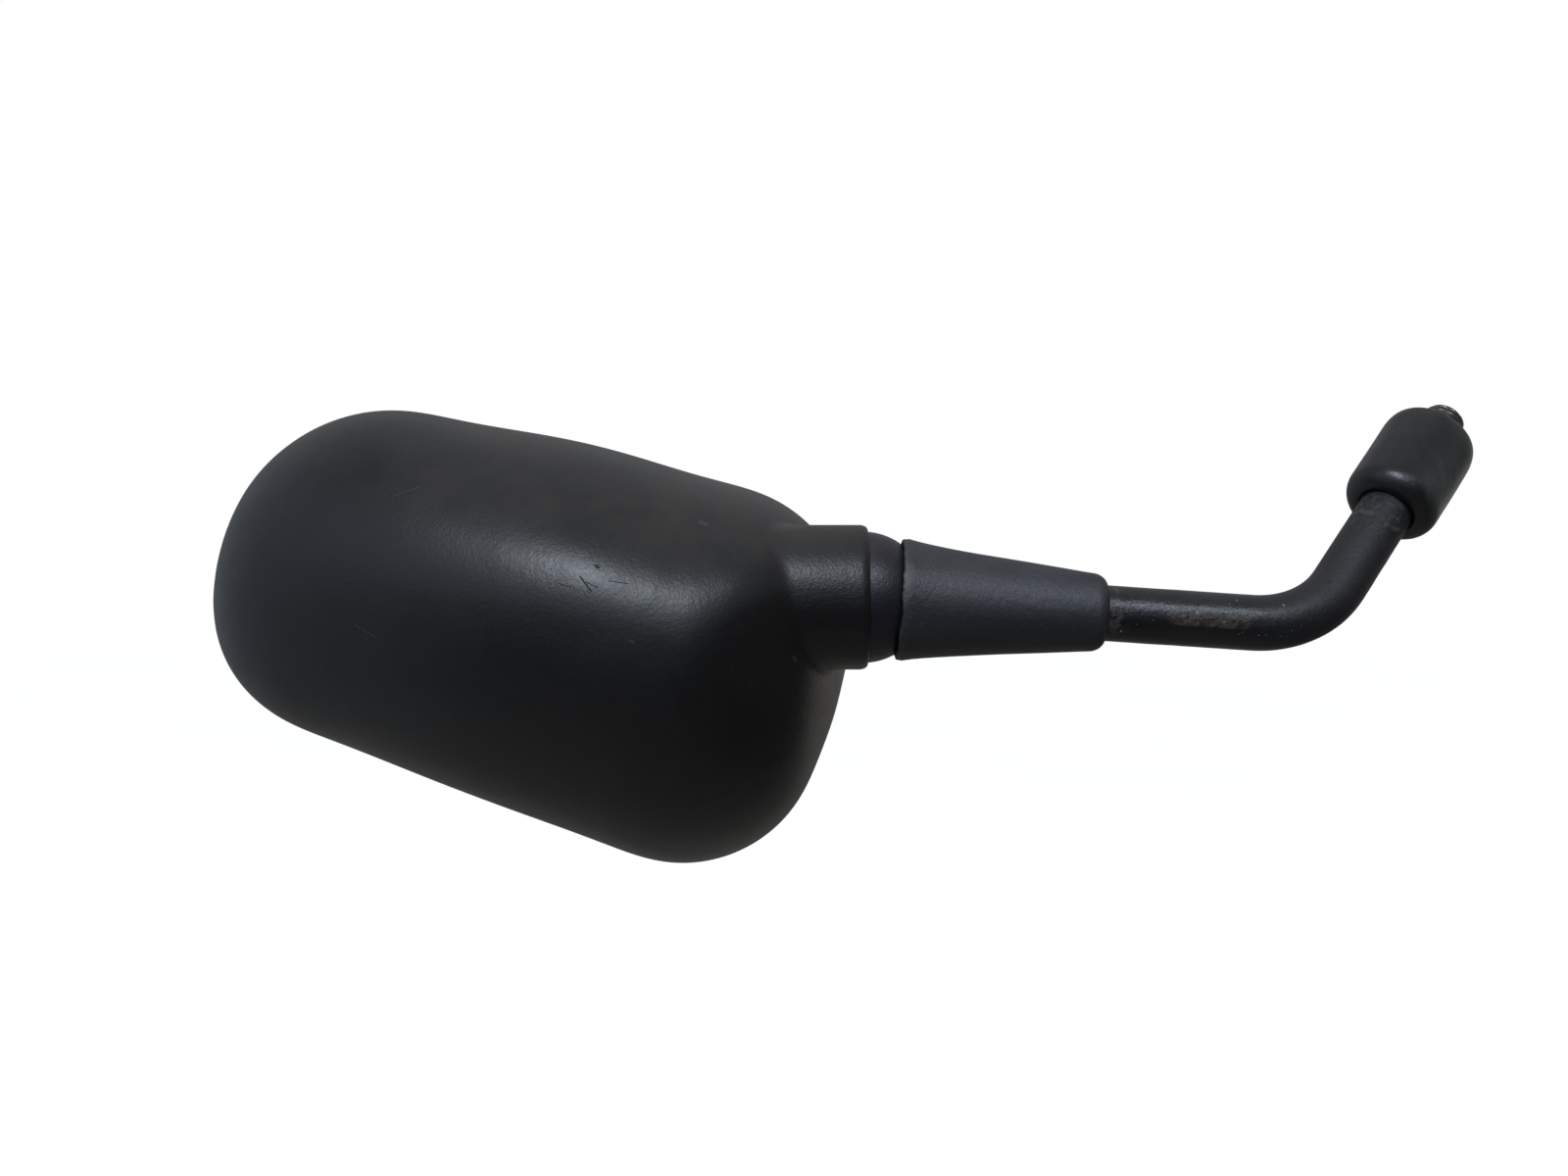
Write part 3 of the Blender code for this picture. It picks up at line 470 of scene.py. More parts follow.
# ----------------------------------------------------------------- materials
class Nodes:
    """A short way to lay out one procedural material."""

    def __init__(self, name):
        self.mat = bpy.data.materials.new(name)
        self.mat.use_nodes = True
        self.tree = self.mat.node_tree
        self.tree.nodes.clear()
        self.out = self.tree.nodes.new("ShaderNodeOutputMaterial")
        self.bsdf = self.tree.nodes.new("ShaderNodeBsdfPrincipled")
        self.link(self.bsdf.outputs["BSDF"], self.out.inputs["Surface"])
        self.where = self.tree.nodes.new("ShaderNodeTexCoord").outputs["Object"]
        self.geo = self.tree.nodes.new("ShaderNodeNewGeometry")
        flat = self.tree.nodes.new("ShaderNodeVectorMath")
        flat.operation = 'MULTIPLY'
        self.link(self.where, flat.inputs[0])
        flat.inputs[1].default_value = (1, 0, 1)
        self.flat = flat.outputs[0]

    def link(self, a, b):
        self.tree.links.new(a, b)

    def put(self, socket, value):
        if isinstance(value, (int, float)):
            socket.default_value = value
        elif isinstance(value, (tuple, list)):
            socket.default_value = tuple(value) + ((1.0,) if len(value) == 3 and
                                                   socket.type == 'RGBA' else ())
        else:
            self.link(value, socket)

    def math(self, op, a, b=0.0, c=0.0, clamp=False):
        n = self.tree.nodes.new("ShaderNodeMath")
        n.operation, n.use_clamp = op, clamp
        for s, v in zip(n.inputs, (a, b, c)):
            self.put(s, v)
        return n.outputs[0]

    def noise(self, scale, detail=3.0, rough=0.5, coord=None, distortion=0.0):
        n = self.tree.nodes.new("ShaderNodeTexNoise")
        n.inputs["Scale"].default_value = scale
        n.inputs["Detail"].default_value = detail
        n.inputs["Roughness"].default_value = rough
        n.inputs["Distortion"].default_value = distortion
        self.link(coord if coord is not None else self.where, n.inputs["Vector"])
        return n.outputs["Fac"]

    def cells(self, scale, coord=None, jitter=1.0, feature='F1'):
        n = self.tree.nodes.new("ShaderNodeTexVoronoi")
        n.feature = feature
        n.inputs["Scale"].default_value = scale
        n.inputs["Randomness"].default_value = jitter
        self.link(coord if coord is not None else self.where, n.inputs["Vector"])
        return n.outputs["Distance"]

    def stretch(self, scale, rot=(0, 0, 0)):
        n = self.tree.nodes.new("ShaderNodeMapping")
        n.inputs["Scale"].default_value = scale
        n.inputs["Rotation"].default_value = rot
        self.link(self.where, n.inputs["Vector"])
        return n.outputs["Vector"]

    def ramp(self, value, lo, hi, a=0.0, b=1.0, smooth=True):
        n = self.tree.nodes.new("ShaderNodeMapRange")
        n.interpolation_type = 'SMOOTHSTEP' if smooth else 'LINEAR'
        n.clamp = True
        for k, v in (("From Min", lo), ("From Max", hi), ("To Min", a), ("To Max", b)):
            n.inputs[k].default_value = v
        self.put(n.inputs["Value"], value)
        return n.outputs["Result"]

    def mix(self, fac, a, b):
        n = self.tree.nodes.new("ShaderNodeMix")
        n.data_type = 'RGBA'
        self.put(n.inputs[0], fac)
        self.put(n.inputs[6], a)
        self.put(n.inputs[7], b)
        return n.outputs[2]

    def grade(self, a, fac):
        """Colour a times the number fac."""
        n = self.tree.nodes.new("ShaderNodeVectorMath")
        n.operation = 'SCALE'
        self.put(n.inputs[0], a)
        self.put(n.inputs["Scale"], fac)
        return n.outputs[0]

    def part(self, axis, source=None):
        n = self.tree.nodes.new("ShaderNodeSeparateXYZ")
        self.link(source if source is not None else self.where, n.inputs[0])
        return n.outputs[axis]

    def bump(self, height, distance, strength=1.0, after=None):
        n = self.tree.nodes.new("ShaderNodeBump")
        n.inputs["Distance"].default_value = distance
        n.inputs["Strength"].default_value = strength
        self.put(n.inputs["Height"], height)
        if after is not None:
            self.link(after, n.inputs["Normal"])
        return n.outputs[0]

    def to(self, name, value):
        self.put(self.bsdf.inputs[name], value)

    def capsule(self, a, b, width, soft=0.4):
        """1 along the scratch from a to b, in millimetres, seen along Y, fading across it."""
        a, b = Vector((a[0], 0, a[2])) * MM, Vector((b[0], 0, b[2])) * MM
        d = b - a
        sub = self.tree.nodes.new("ShaderNodeVectorMath")
        sub.operation = 'SUBTRACT'
        self.link(self.flat, sub.inputs[0])
        sub.inputs[1].default_value = a
        dot = self.tree.nodes.new("ShaderNodeVectorMath")
        dot.operation = 'DOT_PRODUCT'
        self.link(sub.outputs[0], dot.inputs[0])
        dot.inputs[1].default_value = d / d.length_squared
        t = self.math('ADD', dot.outputs["Value"], 0.0, clamp=True)
        along = self.tree.nodes.new("ShaderNodeVectorMath")
        along.operation = 'SCALE'
        along.inputs[0].default_value = d
        self.link(t, along.inputs["Scale"])
        off = self.tree.nodes.new("ShaderNodeVectorMath")
        off.operation = 'DISTANCE'
        self.link(sub.outputs[0], off.inputs[0])
        self.link(along.outputs[0], off.inputs[1])
        w = width * MM
        return self.ramp(off.outputs["Value"], w * (1 - soft), w * (1 + soft), 1.0, 0.0)

    def axis_distance(self, origin, direction):
        """Distance in metres from the line through origin along direction."""
        sub = self.tree.nodes.new("ShaderNodeVectorMath")
        sub.operation = 'SUBTRACT'
        self.link(self.where, sub.inputs[0])
        sub.inputs[1].default_value = Vector(origin) * MM
        cross = self.tree.nodes.new("ShaderNodeVectorMath")
        cross.operation = 'CROSS_PRODUCT'
        self.link(sub.outputs[0], cross.inputs[0])
        cross.inputs[1].default_value = Vector(direction).normalized()
        size = self.tree.nodes.new("ShaderNodeVectorMath")
        size.operation = 'LENGTH'
        self.link(cross.outputs[0], size.inputs[0])
        return size.outputs["Value"]

    def along(self, origin, direction):
        """Distance in metres along direction from origin."""
        sub = self.tree.nodes.new("ShaderNodeVectorMath")
        sub.operation = 'SUBTRACT'
        self.link(self.where, sub.inputs[0])
        sub.inputs[1].default_value = Vector(origin) * MM
        dot = self.tree.nodes.new("ShaderNodeVectorMath")
        dot.operation = 'DOT_PRODUCT'
        self.link(sub.outputs[0], dot.inputs[0])
        dot.inputs[1].default_value = Vector(direction).normalized()
        return dot.outputs["Value"]

    def plus(self, *values):
        total = values[0]
        for v in values[1:]:
            total = self.math('ADD', total, v)
        return total

    def most(self, *values):
        total = values[0]
        for v in values[1:]:
            total = self.math('MAXIMUM', total, v)
        return total


def rel(x, y, z):
    """A point given from the ball joint's centre."""
    return BALL + Vector((x, y, z))


def shell_plastic(name="shell_plastic", blue=0.0):
    """Weathered black moulded plastic: fine grain, dust, scuffs and scratches."""
    n = Nodes(name)
    n.bsdf.inputs["Specular IOR Level"].default_value = 0.5
    n.bsdf.inputs["IOR"].default_value = 1.5
    cloud = n.noise(38.0, 5.0, 0.62)
    fine = n.noise(1150.0, 3.0, 0.62)
    grain = n.noise(3200.0, 2.0, 0.55)
    pores = n.cells(1500.0)
    wipe = n.noise(60.0, 4.0, 0.6, n.stretch((0.35, 1.0, 2.4), (0.1, 0.3, 0.5)))
    up = n.ramp(n.part(2, n.geo.outputs["Normal"]), 0.35, 0.98)
    # dust lies on what faces up, in patches
    dust = n.math('MULTIPLY', up, n.ramp(cloud, 0.36, 0.66))
    speck = n.ramp(n.cells(420.0), 0.045, 0.075, 1.0, 0.0)
    speck = n.math('MULTIPLY', speck, n.ramp(n.noise(75.0, 2.0), 0.53, 0.62))
    front = n.ramp(n.part(1, n.geo.outputs["Normal"]), -0.25, -0.45)
    scratches = n.math('MULTIPLY', front, n.most(
        n.capsule(rel(-61.3, 0, 4.5), rel(-58.9, 0, 1.4), 0.13),
        n.capsule(rel(-59.9, 0, 3.3), rel(-57.6, 0, 2.2), 0.07),
        n.capsule(rel(-58.1, 0, 6.9), rel(-57.6, 0, 6.5), 0.22),
        n.capsule(rel(-66.0, 0, 3.1), rel(-62.4, 0, 2.0), 0.06),
        n.capsule(rel(-55.2, 0, 3.6), rel(-50.9, 0, 3.0), 0.06)))
    pale = n.math('MULTIPLY', front, n.most(
        n.capsule(rel(-50.6, 0, -9.0), rel(-49.8, 0, -9.4), 0.22),
        n.capsule(rel(-36.4, 0, 16.8), rel(-34.9, 0, 16.2), 0.38, 0.8),
        n.capsule(rel(-15.7, 0, -13.0), rel(-15.1, 0, -13.8), 0.26),
        n.capsule(rel(-66.5, 0, 4.4), rel(-62.5, 0, 2.9), 0.08),
        n.capsule(rel(-104.0, 0, 22.5), rel(-98.5, 0, 24.5), 0.09),
        n.capsule(rel(-112.0, 0, -6.0), rel(-107.0, 0, -8.8), 0.09)))
    base = n.mix(n.ramp(cloud, 0.3, 0.7), (0.0050, 0.0051, 0.0056 + 0.001 * blue),
                 (0.0092, 0.0090, 0.0092 + 0.002 * blue))
    base = n.mix(n.math('MULTIPLY', dust, 0.34), base, (0.066, 0.054, 0.042))
    # earth caught low on the neck
    near = n.math('MULTIPLY', n.ramp(n.part(0), (BALL.x - 8.0) * MM, (BALL.x - 1.5) * MM),
                  n.ramp(n.part(2), (BALL.z - 15.5) * MM, (BALL.z - 12.0) * MM, 1.0, 0.0))
    near = n.math('MULTIPLY', near, n.ramp(fine, 0.44, 0.60))
    base = n.mix(n.math('MULTIPLY', near, 0.75), base, (0.052, 0.050, 0.028))
    base = n.mix(n.math('MULTIPLY', speck, 0.35), base, (0.11, 0.105, 0.10))
    base = n.mix(n.math('MULTIPLY', pale, 0.40), base, (0.085, 0.084, 0.080))
    n.to("Base Color", base)
    rough = n.plus(0.395, n.math('MULTIPLY', n.math('SUBTRACT', cloud, 0.5), 0.13),
                   n.math('MULTIPLY', n.math('SUBTRACT', wipe, 0.5), 0.10),
                   n.math('MULTIPLY', n.math('SUBTRACT', fine, 0.5), 0.12),
                   n.math('MULTIPLY', dust, 0.06))
    rough = n.math('ADD', rough, n.math('MULTIPLY', scratches, 0.3))
    n.to("Roughness", rough)
    height = n.plus(n.math('MULTIPLY', grain, 0.45), n.math('MULTIPLY', fine, 1.0),
                    n.math('MULTIPLY', pores, 0.45), n.math('MULTIPLY', scratches, -1.6))
    low = n.bump(n.noise(120.0, 3.0, 0.5), 0.00014)
    # the neck is grainier than the back
    neck = n.ramp(n.part(0), (BALL.x - 20.0) * MM, (BALL.x - 12.0) * MM, 0.62, 1.25)
    n.to("Normal", n.bump(n.math('MULTIPLY', height, neck), 0.000062, 1.0, low))
    return n.mat


def dome_plastic():
    return shell_plastic("dome_plastic", 3.0)


def boot_rubber():
    n = Nodes("boot_rubber")
    n.bsdf.inputs["Specular IOR Level"].default_value = 0.66
    cloud = n.noise(70.0, 4.0, 0.6)
    grain = n.noise(2600.0, 3.0, 0.6)
    fine = n.noise(700.0, 3.0, 0.6)
    run = n.noise(55.0, 3.0, 0.55, n.stretch((0.5, 2.2, 2.2)))
    up = n.ramp(n.part(2, n.geo.outputs["Normal"]), 0.2, 0.95)
    dust = n.math('MULTIPLY', up, n.ramp(cloud, 0.35, 0.68))
    base = n.mix(n.ramp(run, 0.3, 0.7), (0.0070, 0.0084, 0.0115), (0.0135, 0.0155, 0.0205))
    base = n.mix(n.math('MULTIPLY', dust, 0.26), base, (0.068, 0.072, 0.080))
    base = n.mix(n.ramp(fine, 0.60, 0.72, 0.0, 0.30), base, (0.050, 0.054, 0.062))
    # dirt packed at the cone's wide end
    lip = n.ramp(n.along(BALL, stem_dir), 0.0080, 0.0105, 1.0, 0.0)
    base = n.mix(n.math('MULTIPLY', lip, n.ramp(fine, 0.40, 0.62, 0.0, 0.6)), base,
                 (0.052, 0.050, 0.040))
    n.to("Base Color", base)
    n.to("Roughness", n.plus(0.52, n.math('MULTIPLY', n.math('SUBTRACT', cloud, 0.5), 0.16),
                             n.math('MULTIPLY', n.math('SUBTRACT', fine, 0.5), 0.12)))
    height = n.plus(n.math('MULTIPLY', grain, 0.7), n.math('MULTIPLY', fine, 1.3))
    n.to("Normal", n.bump(height, 0.000110, 1.0, n.bump(run, 0.00020)))
    return n.mat


def stem_paint():
    """Gloss black paint on steel, chipped, pitted and worn brown in one place."""
    n = Nodes("stem_paint")
    n.bsdf.inputs["Specular IOR Level"].default_value = 0.5
    mm = n.math('MULTIPLY', n.along(BALL, stem_dir), 1000.0)
    cloud = n.noise(55.0, 4.0, 0.6)
    rag = n.noise(420.0, 5.0, 0.68)
    fine = n.noise(1500.0, 3.0, 0.6)
    drag = n.noise(170.0, 4.0, 0.62, n.stretch((0.22, 1.0, 1.0)))
    pits = n.ramp(n.cells(520.0), 0.10, 0.19, 1.0, 0.0)
    pits = n.math('MULTIPLY', pits, n.ramp(n.noise(85.0, 2.0), 0.47, 0.60))
    facing = n.part(2, n.geo.outputs["Normal"])
    front = n.math('MULTIPLY', n.ramp(facing, -0.34, -0.22), n.ramp(facing, 0.20, 0.40, 1.0, 0.0))
    front = n.math('MULTIPLY', front, n.ramp(n.part(1, n.geo.outputs["Normal"]), -0.5, -0.8))
    # the worn stretch runs along the front of the first leg
    span = n.math('MULTIPLY', n.ramp(mm, 62.0, 72.0), n.ramp(mm, 84.0, 94.0, 1.0, 0.0))
    worn = n.ramp(n.plus(n.math('MULTIPLY', span, 0.5), n.math('MULTIPLY', front, 0.5),
                         n.math('MULTIPLY', rag, 0.55), n.math('MULTIPLY', drag, 0.45)),
                  1.34, 1.62)
    ring = n.ramp(mm, 56.2, 60.5, 1.0, 0.0)
    ring = n.math('MULTIPLY', ring, n.ramp(rag, 0.46, 0.60, 0.0, 1.0))
    later = n.ramp(mm, 84.0, 104.0)
    chips = n.ramp(n.cells(330.0), 0.075, 0.105, 1.0, 0.0)
    chips = n.math('MULTIPLY', chips, n.ramp(n.noise(120.0, 2.0), 0.555, 0.615))
    # scuffed where the nut cover's edge rubs the second leg
    cover = n.along((0, 0, 0), -STUD_DIR)
    rub = n.math('MULTIPLY', n.ramp(cover, 0.0345, 0.0385), n.ramp(cover, 0.0400, 0.0500, 1.0, 0.0))
    rub = n.math('MULTIPLY', rub, n.ramp(rag, 0.50, 0.60))
    base = n.mix(n.ramp(cloud, 0.3, 0.7), (0.0045, 0.0049, 0.0060), (0.0090, 0.0094, 0.0108))
    base = n.mix(n.math('MULTIPLY', worn, 0.85), base,
                 n.mix(n.ramp(fine, 0.35, 0.65), (0.036, 0.025, 0.020), (0.105, 0.078, 0.064)))
    base = n.mix(n.math('MULTIPLY', rub, 0.7), base, (0.060, 0.058, 0.048))
    base = n.mix(n.math('MULTIPLY', ring, 0.75), base, (0.056, 0.044, 0.038))
    base = n.mix(n.math('MULTIPLY', chips, 0.8), base, (0.30, 0.29, 0.28))
    n.to("Base Color", base)
    n.to("Roughness", n.plus(0.31, n.math('MULTIPLY', later, 0.22), n.math('MULTIPLY', n.math('SUBTRACT', drag, 0.5), 0.16),
                             n.math('MULTIPLY', n.math('SUBTRACT', rag, 0.5), 0.16),
                             n.math('MULTIPLY', worn, 0.26), n.math('MULTIPLY', rub, 0.25),
                             n.math('MULTIPLY', ring, 0.2)))
    height = n.plus(n.math('MULTIPLY', rag, 0.60), n.math('MULTIPLY', fine, 0.80),
                    n.math('MULTIPLY', pits, -1.3), n.math('MULTIPLY', chips, -1.1),
                    n.math('MULTIPLY', worn, n.math('MULTIPLY', fine, 1.4)))
    n.to("Normal", n.bump(height, 0.000120, 1.0, n.bump(drag, 0.00022)))
    return n.mat


def cover_plastic():
    n = Nodes("cover_plastic")
    n.bsdf.inputs["Specular IOR Level"].default_value = 0.5
    cloud = n.noise(80.0, 4.0, 0.6)
    fine = n.noise(800.0, 3.0, 0.6)
    grain = n.noise(2800.0, 2.0, 0.55)
    run = n.noise(130.0, 4.0, 0.6, n.stretch((1.0, 1.0, 0.3), (0.6, 0.4, 0.0)))
    up = n.ramp(n.part(2, n.geo.outputs["Normal"]), 0.3, 0.95)
    dust = n.math('MULTIPLY', up, n.ramp(cloud, 0.40, 0.66))
    base = n.mix(n.ramp(cloud, 0.3, 0.7), (0.0052, 0.0058, 0.0066), (0.0105, 0.0110, 0.0116))
    base = n.mix(n.math('MULTIPLY', dust, 0.22), base, (0.060, 0.060, 0.052))
    # greenish dust on the outer side, with painted light: the +X-facing side's colour is made lighter to stand in
    # for light falling on it
    side = n.ramp(n.part(0, n.geo.outputs["Normal"]), 0.05, 0.70)
    base = n.mix(n.math('MULTIPLY', side, n.ramp(run, 0.36, 0.66, 0.35, 0.8)), base,
                 (0.088, 0.097, 0.088))
    n.to("Base Color", base)
    n.to("Roughness", n.plus(0.36, n.math('MULTIPLY', n.math('SUBTRACT', cloud, 0.5), 0.14),
                             n.math('MULTIPLY', n.math('SUBTRACT', run, 0.5), 0.12),
                             n.math('MULTIPLY', n.math('SUBTRACT', fine, 0.5), 0.12)))
    height = n.plus(n.math('MULTIPLY', grain, 0.5), n.math('MULTIPLY', fine, 0.9))
    n.to("Normal", n.bump(height, 0.000080, 1.0, n.bump(run, 0.00016)))
    return n.mat


def steel(name, tone, rough, grime_tone=(0.035, 0.030, 0.025), grime=0.4, groove=None):
    n = Nodes(name)
    n.bsdf.inputs["Metallic"].default_value = 1.0
    cloud = n.noise(220.0, 4.0, 0.62)
    fine = n.noise(1900.0, 3.0, 0.6)
    patch = n.ramp(cloud, 0.45, 0.66)
    dirt = n.math('MULTIPLY', patch, grime)
    if groove is not None:
        origin, direction, deep, high = groove
        deeper = n.ramp(n.axis_distance(origin, direction), deep * MM, high * MM, 1.0, 0.0)
        dirt = n.math('MAXIMUM', dirt, n.math('MULTIPLY', deeper, 0.85))
    base = n.mix(n.ramp(fine, 0.35, 0.65), tuple(c * 0.84 for c in tone), tone)
    n.to("Base Color", n.mix(dirt, base, grime_tone))
    n.to("Roughness", n.plus(rough, n.math('MULTIPLY', n.math('SUBTRACT', fine, 0.5), 0.2),
                             n.math('MULTIPLY', dirt, 0.35)))
    n.to("Normal", n.bump(n.plus(fine, n.math('MULTIPLY', cloud, 0.7)), 0.000025))
    return n.mat


def moulded(name, dark, light, rough, size=1.0, spec=0.5):
    """Plain moulded plastic, nylon or similar, with grain and slight staining."""
    n = Nodes(name)
    n.bsdf.inputs["Specular IOR Level"].default_value = spec
    cloud = n.noise(90.0 / size, 4.0, 0.6)
    grain = n.noise(2400.0 / size, 3.0, 0.6)
    fine = n.noise(500.0 / size, 3.0, 0.6)
    n.to("Base Color", n.mix(n.ramp(n.plus(n.math('MULTIPLY', cloud, 0.75),
                                           n.math('MULTIPLY', fine, 0.25)), 0.36, 0.64),
                             dark, light))
    n.to("Roughness", n.plus(rough, n.math('MULTIPLY', n.math('SUBTRACT', cloud, 0.5), 0.14),
                             n.math('MULTIPLY', n.math('SUBTRACT', fine, 0.5), 0.12)))
    n.to("Normal", n.bump(n.plus(grain, fine), 0.000035 * size, 1.0, n.bump(cloud, 0.0001)))
    return n.mat


def foam():
    n = Nodes("foam_pad")
    n.bsdf.inputs["Specular IOR Level"].default_value = 0.3
    cell = n.cells(900.0)
    cloud = n.noise(90.0, 4.0, 0.6)
    n.to("Base Color", n.mix(n.ramp(cell, 0.1, 0.6), (0.22, 0.21, 0.19), (0.62, 0.61, 0.58)))
    n.to("Roughness", n.ramp(cloud, 0.3, 0.7, 0.82, 0.96))
    n.to("Normal", n.bump(cell, 0.00025))
    return n.mat


def glass():
    """Silvered glass with dust, dried spots and a few wipe marks."""
    n = Nodes("silvered_glass")
    n.bsdf.inputs["Metallic"].default_value = 1.0
    cloud = n.noise(26.0, 4.0, 0.6)
    wipe = n.noise(34.0, 4.0, 0.62, n.stretch((0.35, 1.0, 1.6), (0.0, 0.5, 0.0)))
    speck = n.ramp(n.cells(360.0), 0.05, 0.08, 1.0, 0.0)
    speck = n.math('MULTIPLY', speck, n.ramp(n.noise(60.0, 2.0), 0.50, 0.60))
    film = n.ramp(n.plus(n.math('MULTIPLY', cloud, 0.5), n.math('MULTIPLY', wipe, 0.5)), 0.45, 0.62)
    base = n.mix(n.math('MULTIPLY', film, 0.35), (0.86, 0.885, 0.89), (0.74, 0.755, 0.75))
    base = n.mix(n.math('MULTIPLY', speck, 0.6), base, (0.40, 0.39, 0.37))
    n.to("Base Color", base)
    n.to("Roughness", n.plus(0.018, n.math('MULTIPLY', film, 0.055),
                             n.math('MULTIPLY', speck, 0.35)))
    n.to("Normal", n.bump(n.noise(14.0, 2.0), 0.00002, 0.4))
    return n.mat


mats = {
    "black_shell": shell_plastic(),
    "black_dome": dome_plastic(),
    "rubber": boot_rubber(),
    "black_paint": stem_paint(),
    "black_cover": cover_plastic(),
    "zinc_steel": steel("zinc_steel", (0.42, 0.41, 0.39), 0.34),
    "stud_steel": steel("stud_steel", (0.40, 0.39, 0.37), 0.36, (0.055, 0.045, 0.036), 0.22,
                        groove=((0, 0, 0), STUD_DIR, 4.30, 4.75)),
    "bright_steel": steel("bright_steel", (0.60, 0.59, 0.57), 0.22, grime=0.22),
    "white_nylon": moulded("white_nylon", (0.50, 0.48, 0.42), (0.70, 0.69, 0.64), 0.42),
    "bezel_black": moulded("bezel_black", (0.0055, 0.0056, 0.0062), (0.0120, 0.0120, 0.0126), 0.42),
    "holder_grey": moulded("holder_grey", (0.085, 0.086, 0.090), (0.14, 0.14, 0.145), 0.5),
    "foam_white": foam(),
    "mirror_glass": glass(),
}
for node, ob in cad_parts.items():
    for s in ob.material_slots:
        key = (s.material.name if s.material else "").split(".")[0]
        if key in mats:
            s.material = mats[key]


# -------------------------------------------------------------------- pieces
def piece(name, verts, faces, slots, body, node, angle=35.0, face_mat=None):
    ob = mesh_object(name, verts, faces, [mats[m] for m in slots], angle, face_mat)
    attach(ob, body)
    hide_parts(node)
    return ob


v, f = housing_piece()
piece("shell_back", v, f, ["black_shell"], "head", "housing")


def bezel_piece():
    n = 300
    prof = rounded([(0.1, 28.9, 0.1), (0.0, 29.3, 0.3), (0.15, 30.0, 0.75), (6.5, 30.1, 0.9),
                    (7.0, 29.7, 0.3), (7.0, 28.9, 0.15), (4.6, 28.9, 0), (4.6, 26.6, 0.2),
                    (3.6, 26.6, 0.2), (3.6, 28.9, 0)], 4)
    prof = spaced(prof, 1.6)
    rings = []
    for inset, y in prof:
        o = outline(n, inset)
        rings.append(np.stack([o[:, 0], y - sag(o[:, 0], o[:, 1]), o[:, 1]], 1))
    v, f = skin(np.array(rings) + B, closed=True)
    return v, f


v, f = bezel_piece()
piece("glass_frame", v, f, ["bezel_black"], "head", "glass_bezel")


def glass_piece():
    n = 240
    full = outline(n, 5.0)
    mid = np.array((-78.0, -4.0))
    rings = []
    shares = [0.04] + [k / 22 for k in range(2, 22)]
    for s in shares:
        p = mid + (full - mid) * s
        rings.append(np.stack([p[:, 0], 28.6 - sag(p[:, 0], p[:, 1]), p[:, 1]], 1))
    for inset, y in ((5.55, 28.6), (5.2, 28.45), (5.0, 28.1), (5.0, 26.5), (5.2, 26.2)):
        p = outline(n, inset)
        rings.append(np.stack([p[:, 0], y - sag(p[:, 0], p[:, 1]), p[:, 1]], 1))
    for s in reversed(shares):
        p = mid + (full - mid) * s
        rings.append(np.stack([p[:, 0], 26.2 - sag(p[:, 0], p[:, 1]), p[:, 1]], 1))
    poles = [np.array((mid[0], y - sag(mid[0], mid[1]), mid[1])) + B for y in (28.6, 26.2)]
    return skin(np.array(rings) + B, False, poles[0], poles[1])


v, f = glass_piece()
piece("mirror_pane", v, f, ["mirror_glass"], "head", "mirror_glass", 25.0)


def dome_piece():
    seg = 112
    outer0 = math.degrees(math.acos(DOME_BACK / DOME_R))
    inner0 = math.degrees(math.acos(DOME_BACK / DOME_IN))
    hole_o = math.degrees(math.asin(4.35 / DOME_R))
    hole_i = math.degrees(math.asin(4.35 / DOME_IN))
    prof = arc(0, 0, DOME_R, outer0 - 1.2, hole_o, 44) + arc(0, 0, DOME_IN, hole_i, inner0, 36)
    prof.append((DOME_BACK - 0.25, (DOME_R + DOME_IN) / 2 * math.sin(math.radians(outer0))))

    def warp(z, r, a):
        return z, r
    return turned_verts(prof, seg, frame_at(BALL, stem_dir), warp)


v, f = dome_piece()
piece("neck_dome", v, f, ["black_dome"], "swivel", "joint_dome")


def nut_piece():
    """A hexagon with both ends chamfered by a cone, and a countersunk bore."""
    seg = 96
    ang = np.arange(seg) * TAU / seg
    flat = (NUT_FLATS / 2) / np.cos((ang + math.pi / 6) % (math.pi / 3) - math.pi / 6)
    t0, t1, bore = NUT_T, NUT_T + NUT_H, STUD_R + 0.3
    steps = [(t0 + 0.45, bore), (t0, bore + 0.45), (t0, 7.4)]
    steps += [(t0 + k * 0.1, 7.5 + k * 0.1 * 1.55) for k in range(0, 14)]
    steps += [(t0 + 1.5 + (NUT_H - 3.0) * k / 8, 20.0) for k in range(9)]
    steps += [(t1 - k * 0.1, 7.5 + k * 0.1 * 1.55) for k in reversed(range(0, 14))]
    steps += [(t1, 7.4), (t1, bore + 0.45), (t1 - 0.45, bore)]
    steps += [(t1 - 0.45 - (NUT_H - 0.9) * k / 8, bore) for k in range(1, 8)]
    m = np.array(frame_at(Vector((0, 0, 0)), -STUD_DIR).to_3x3())
    rings = []
    for z, r in steps:
        rr = np.minimum(flat - 0.02, r) if r > 7.45 else np.full(seg, r)
        rings.append(np.stack([rr * np.cos(ang), rr * np.sin(ang), np.full(seg, z)], 1) @ m.T)
    return skin(np.array(rings), closed=True)


v, f = nut_piece()
piece("hex_nut", v, f, ["zinc_steel"], "stem", "lock_nut", 30.0)


def cone_r(s):
    return 9.1 + 0.1 * (50 - s) + 0.65 * math.exp(-(s - 10) / 6)


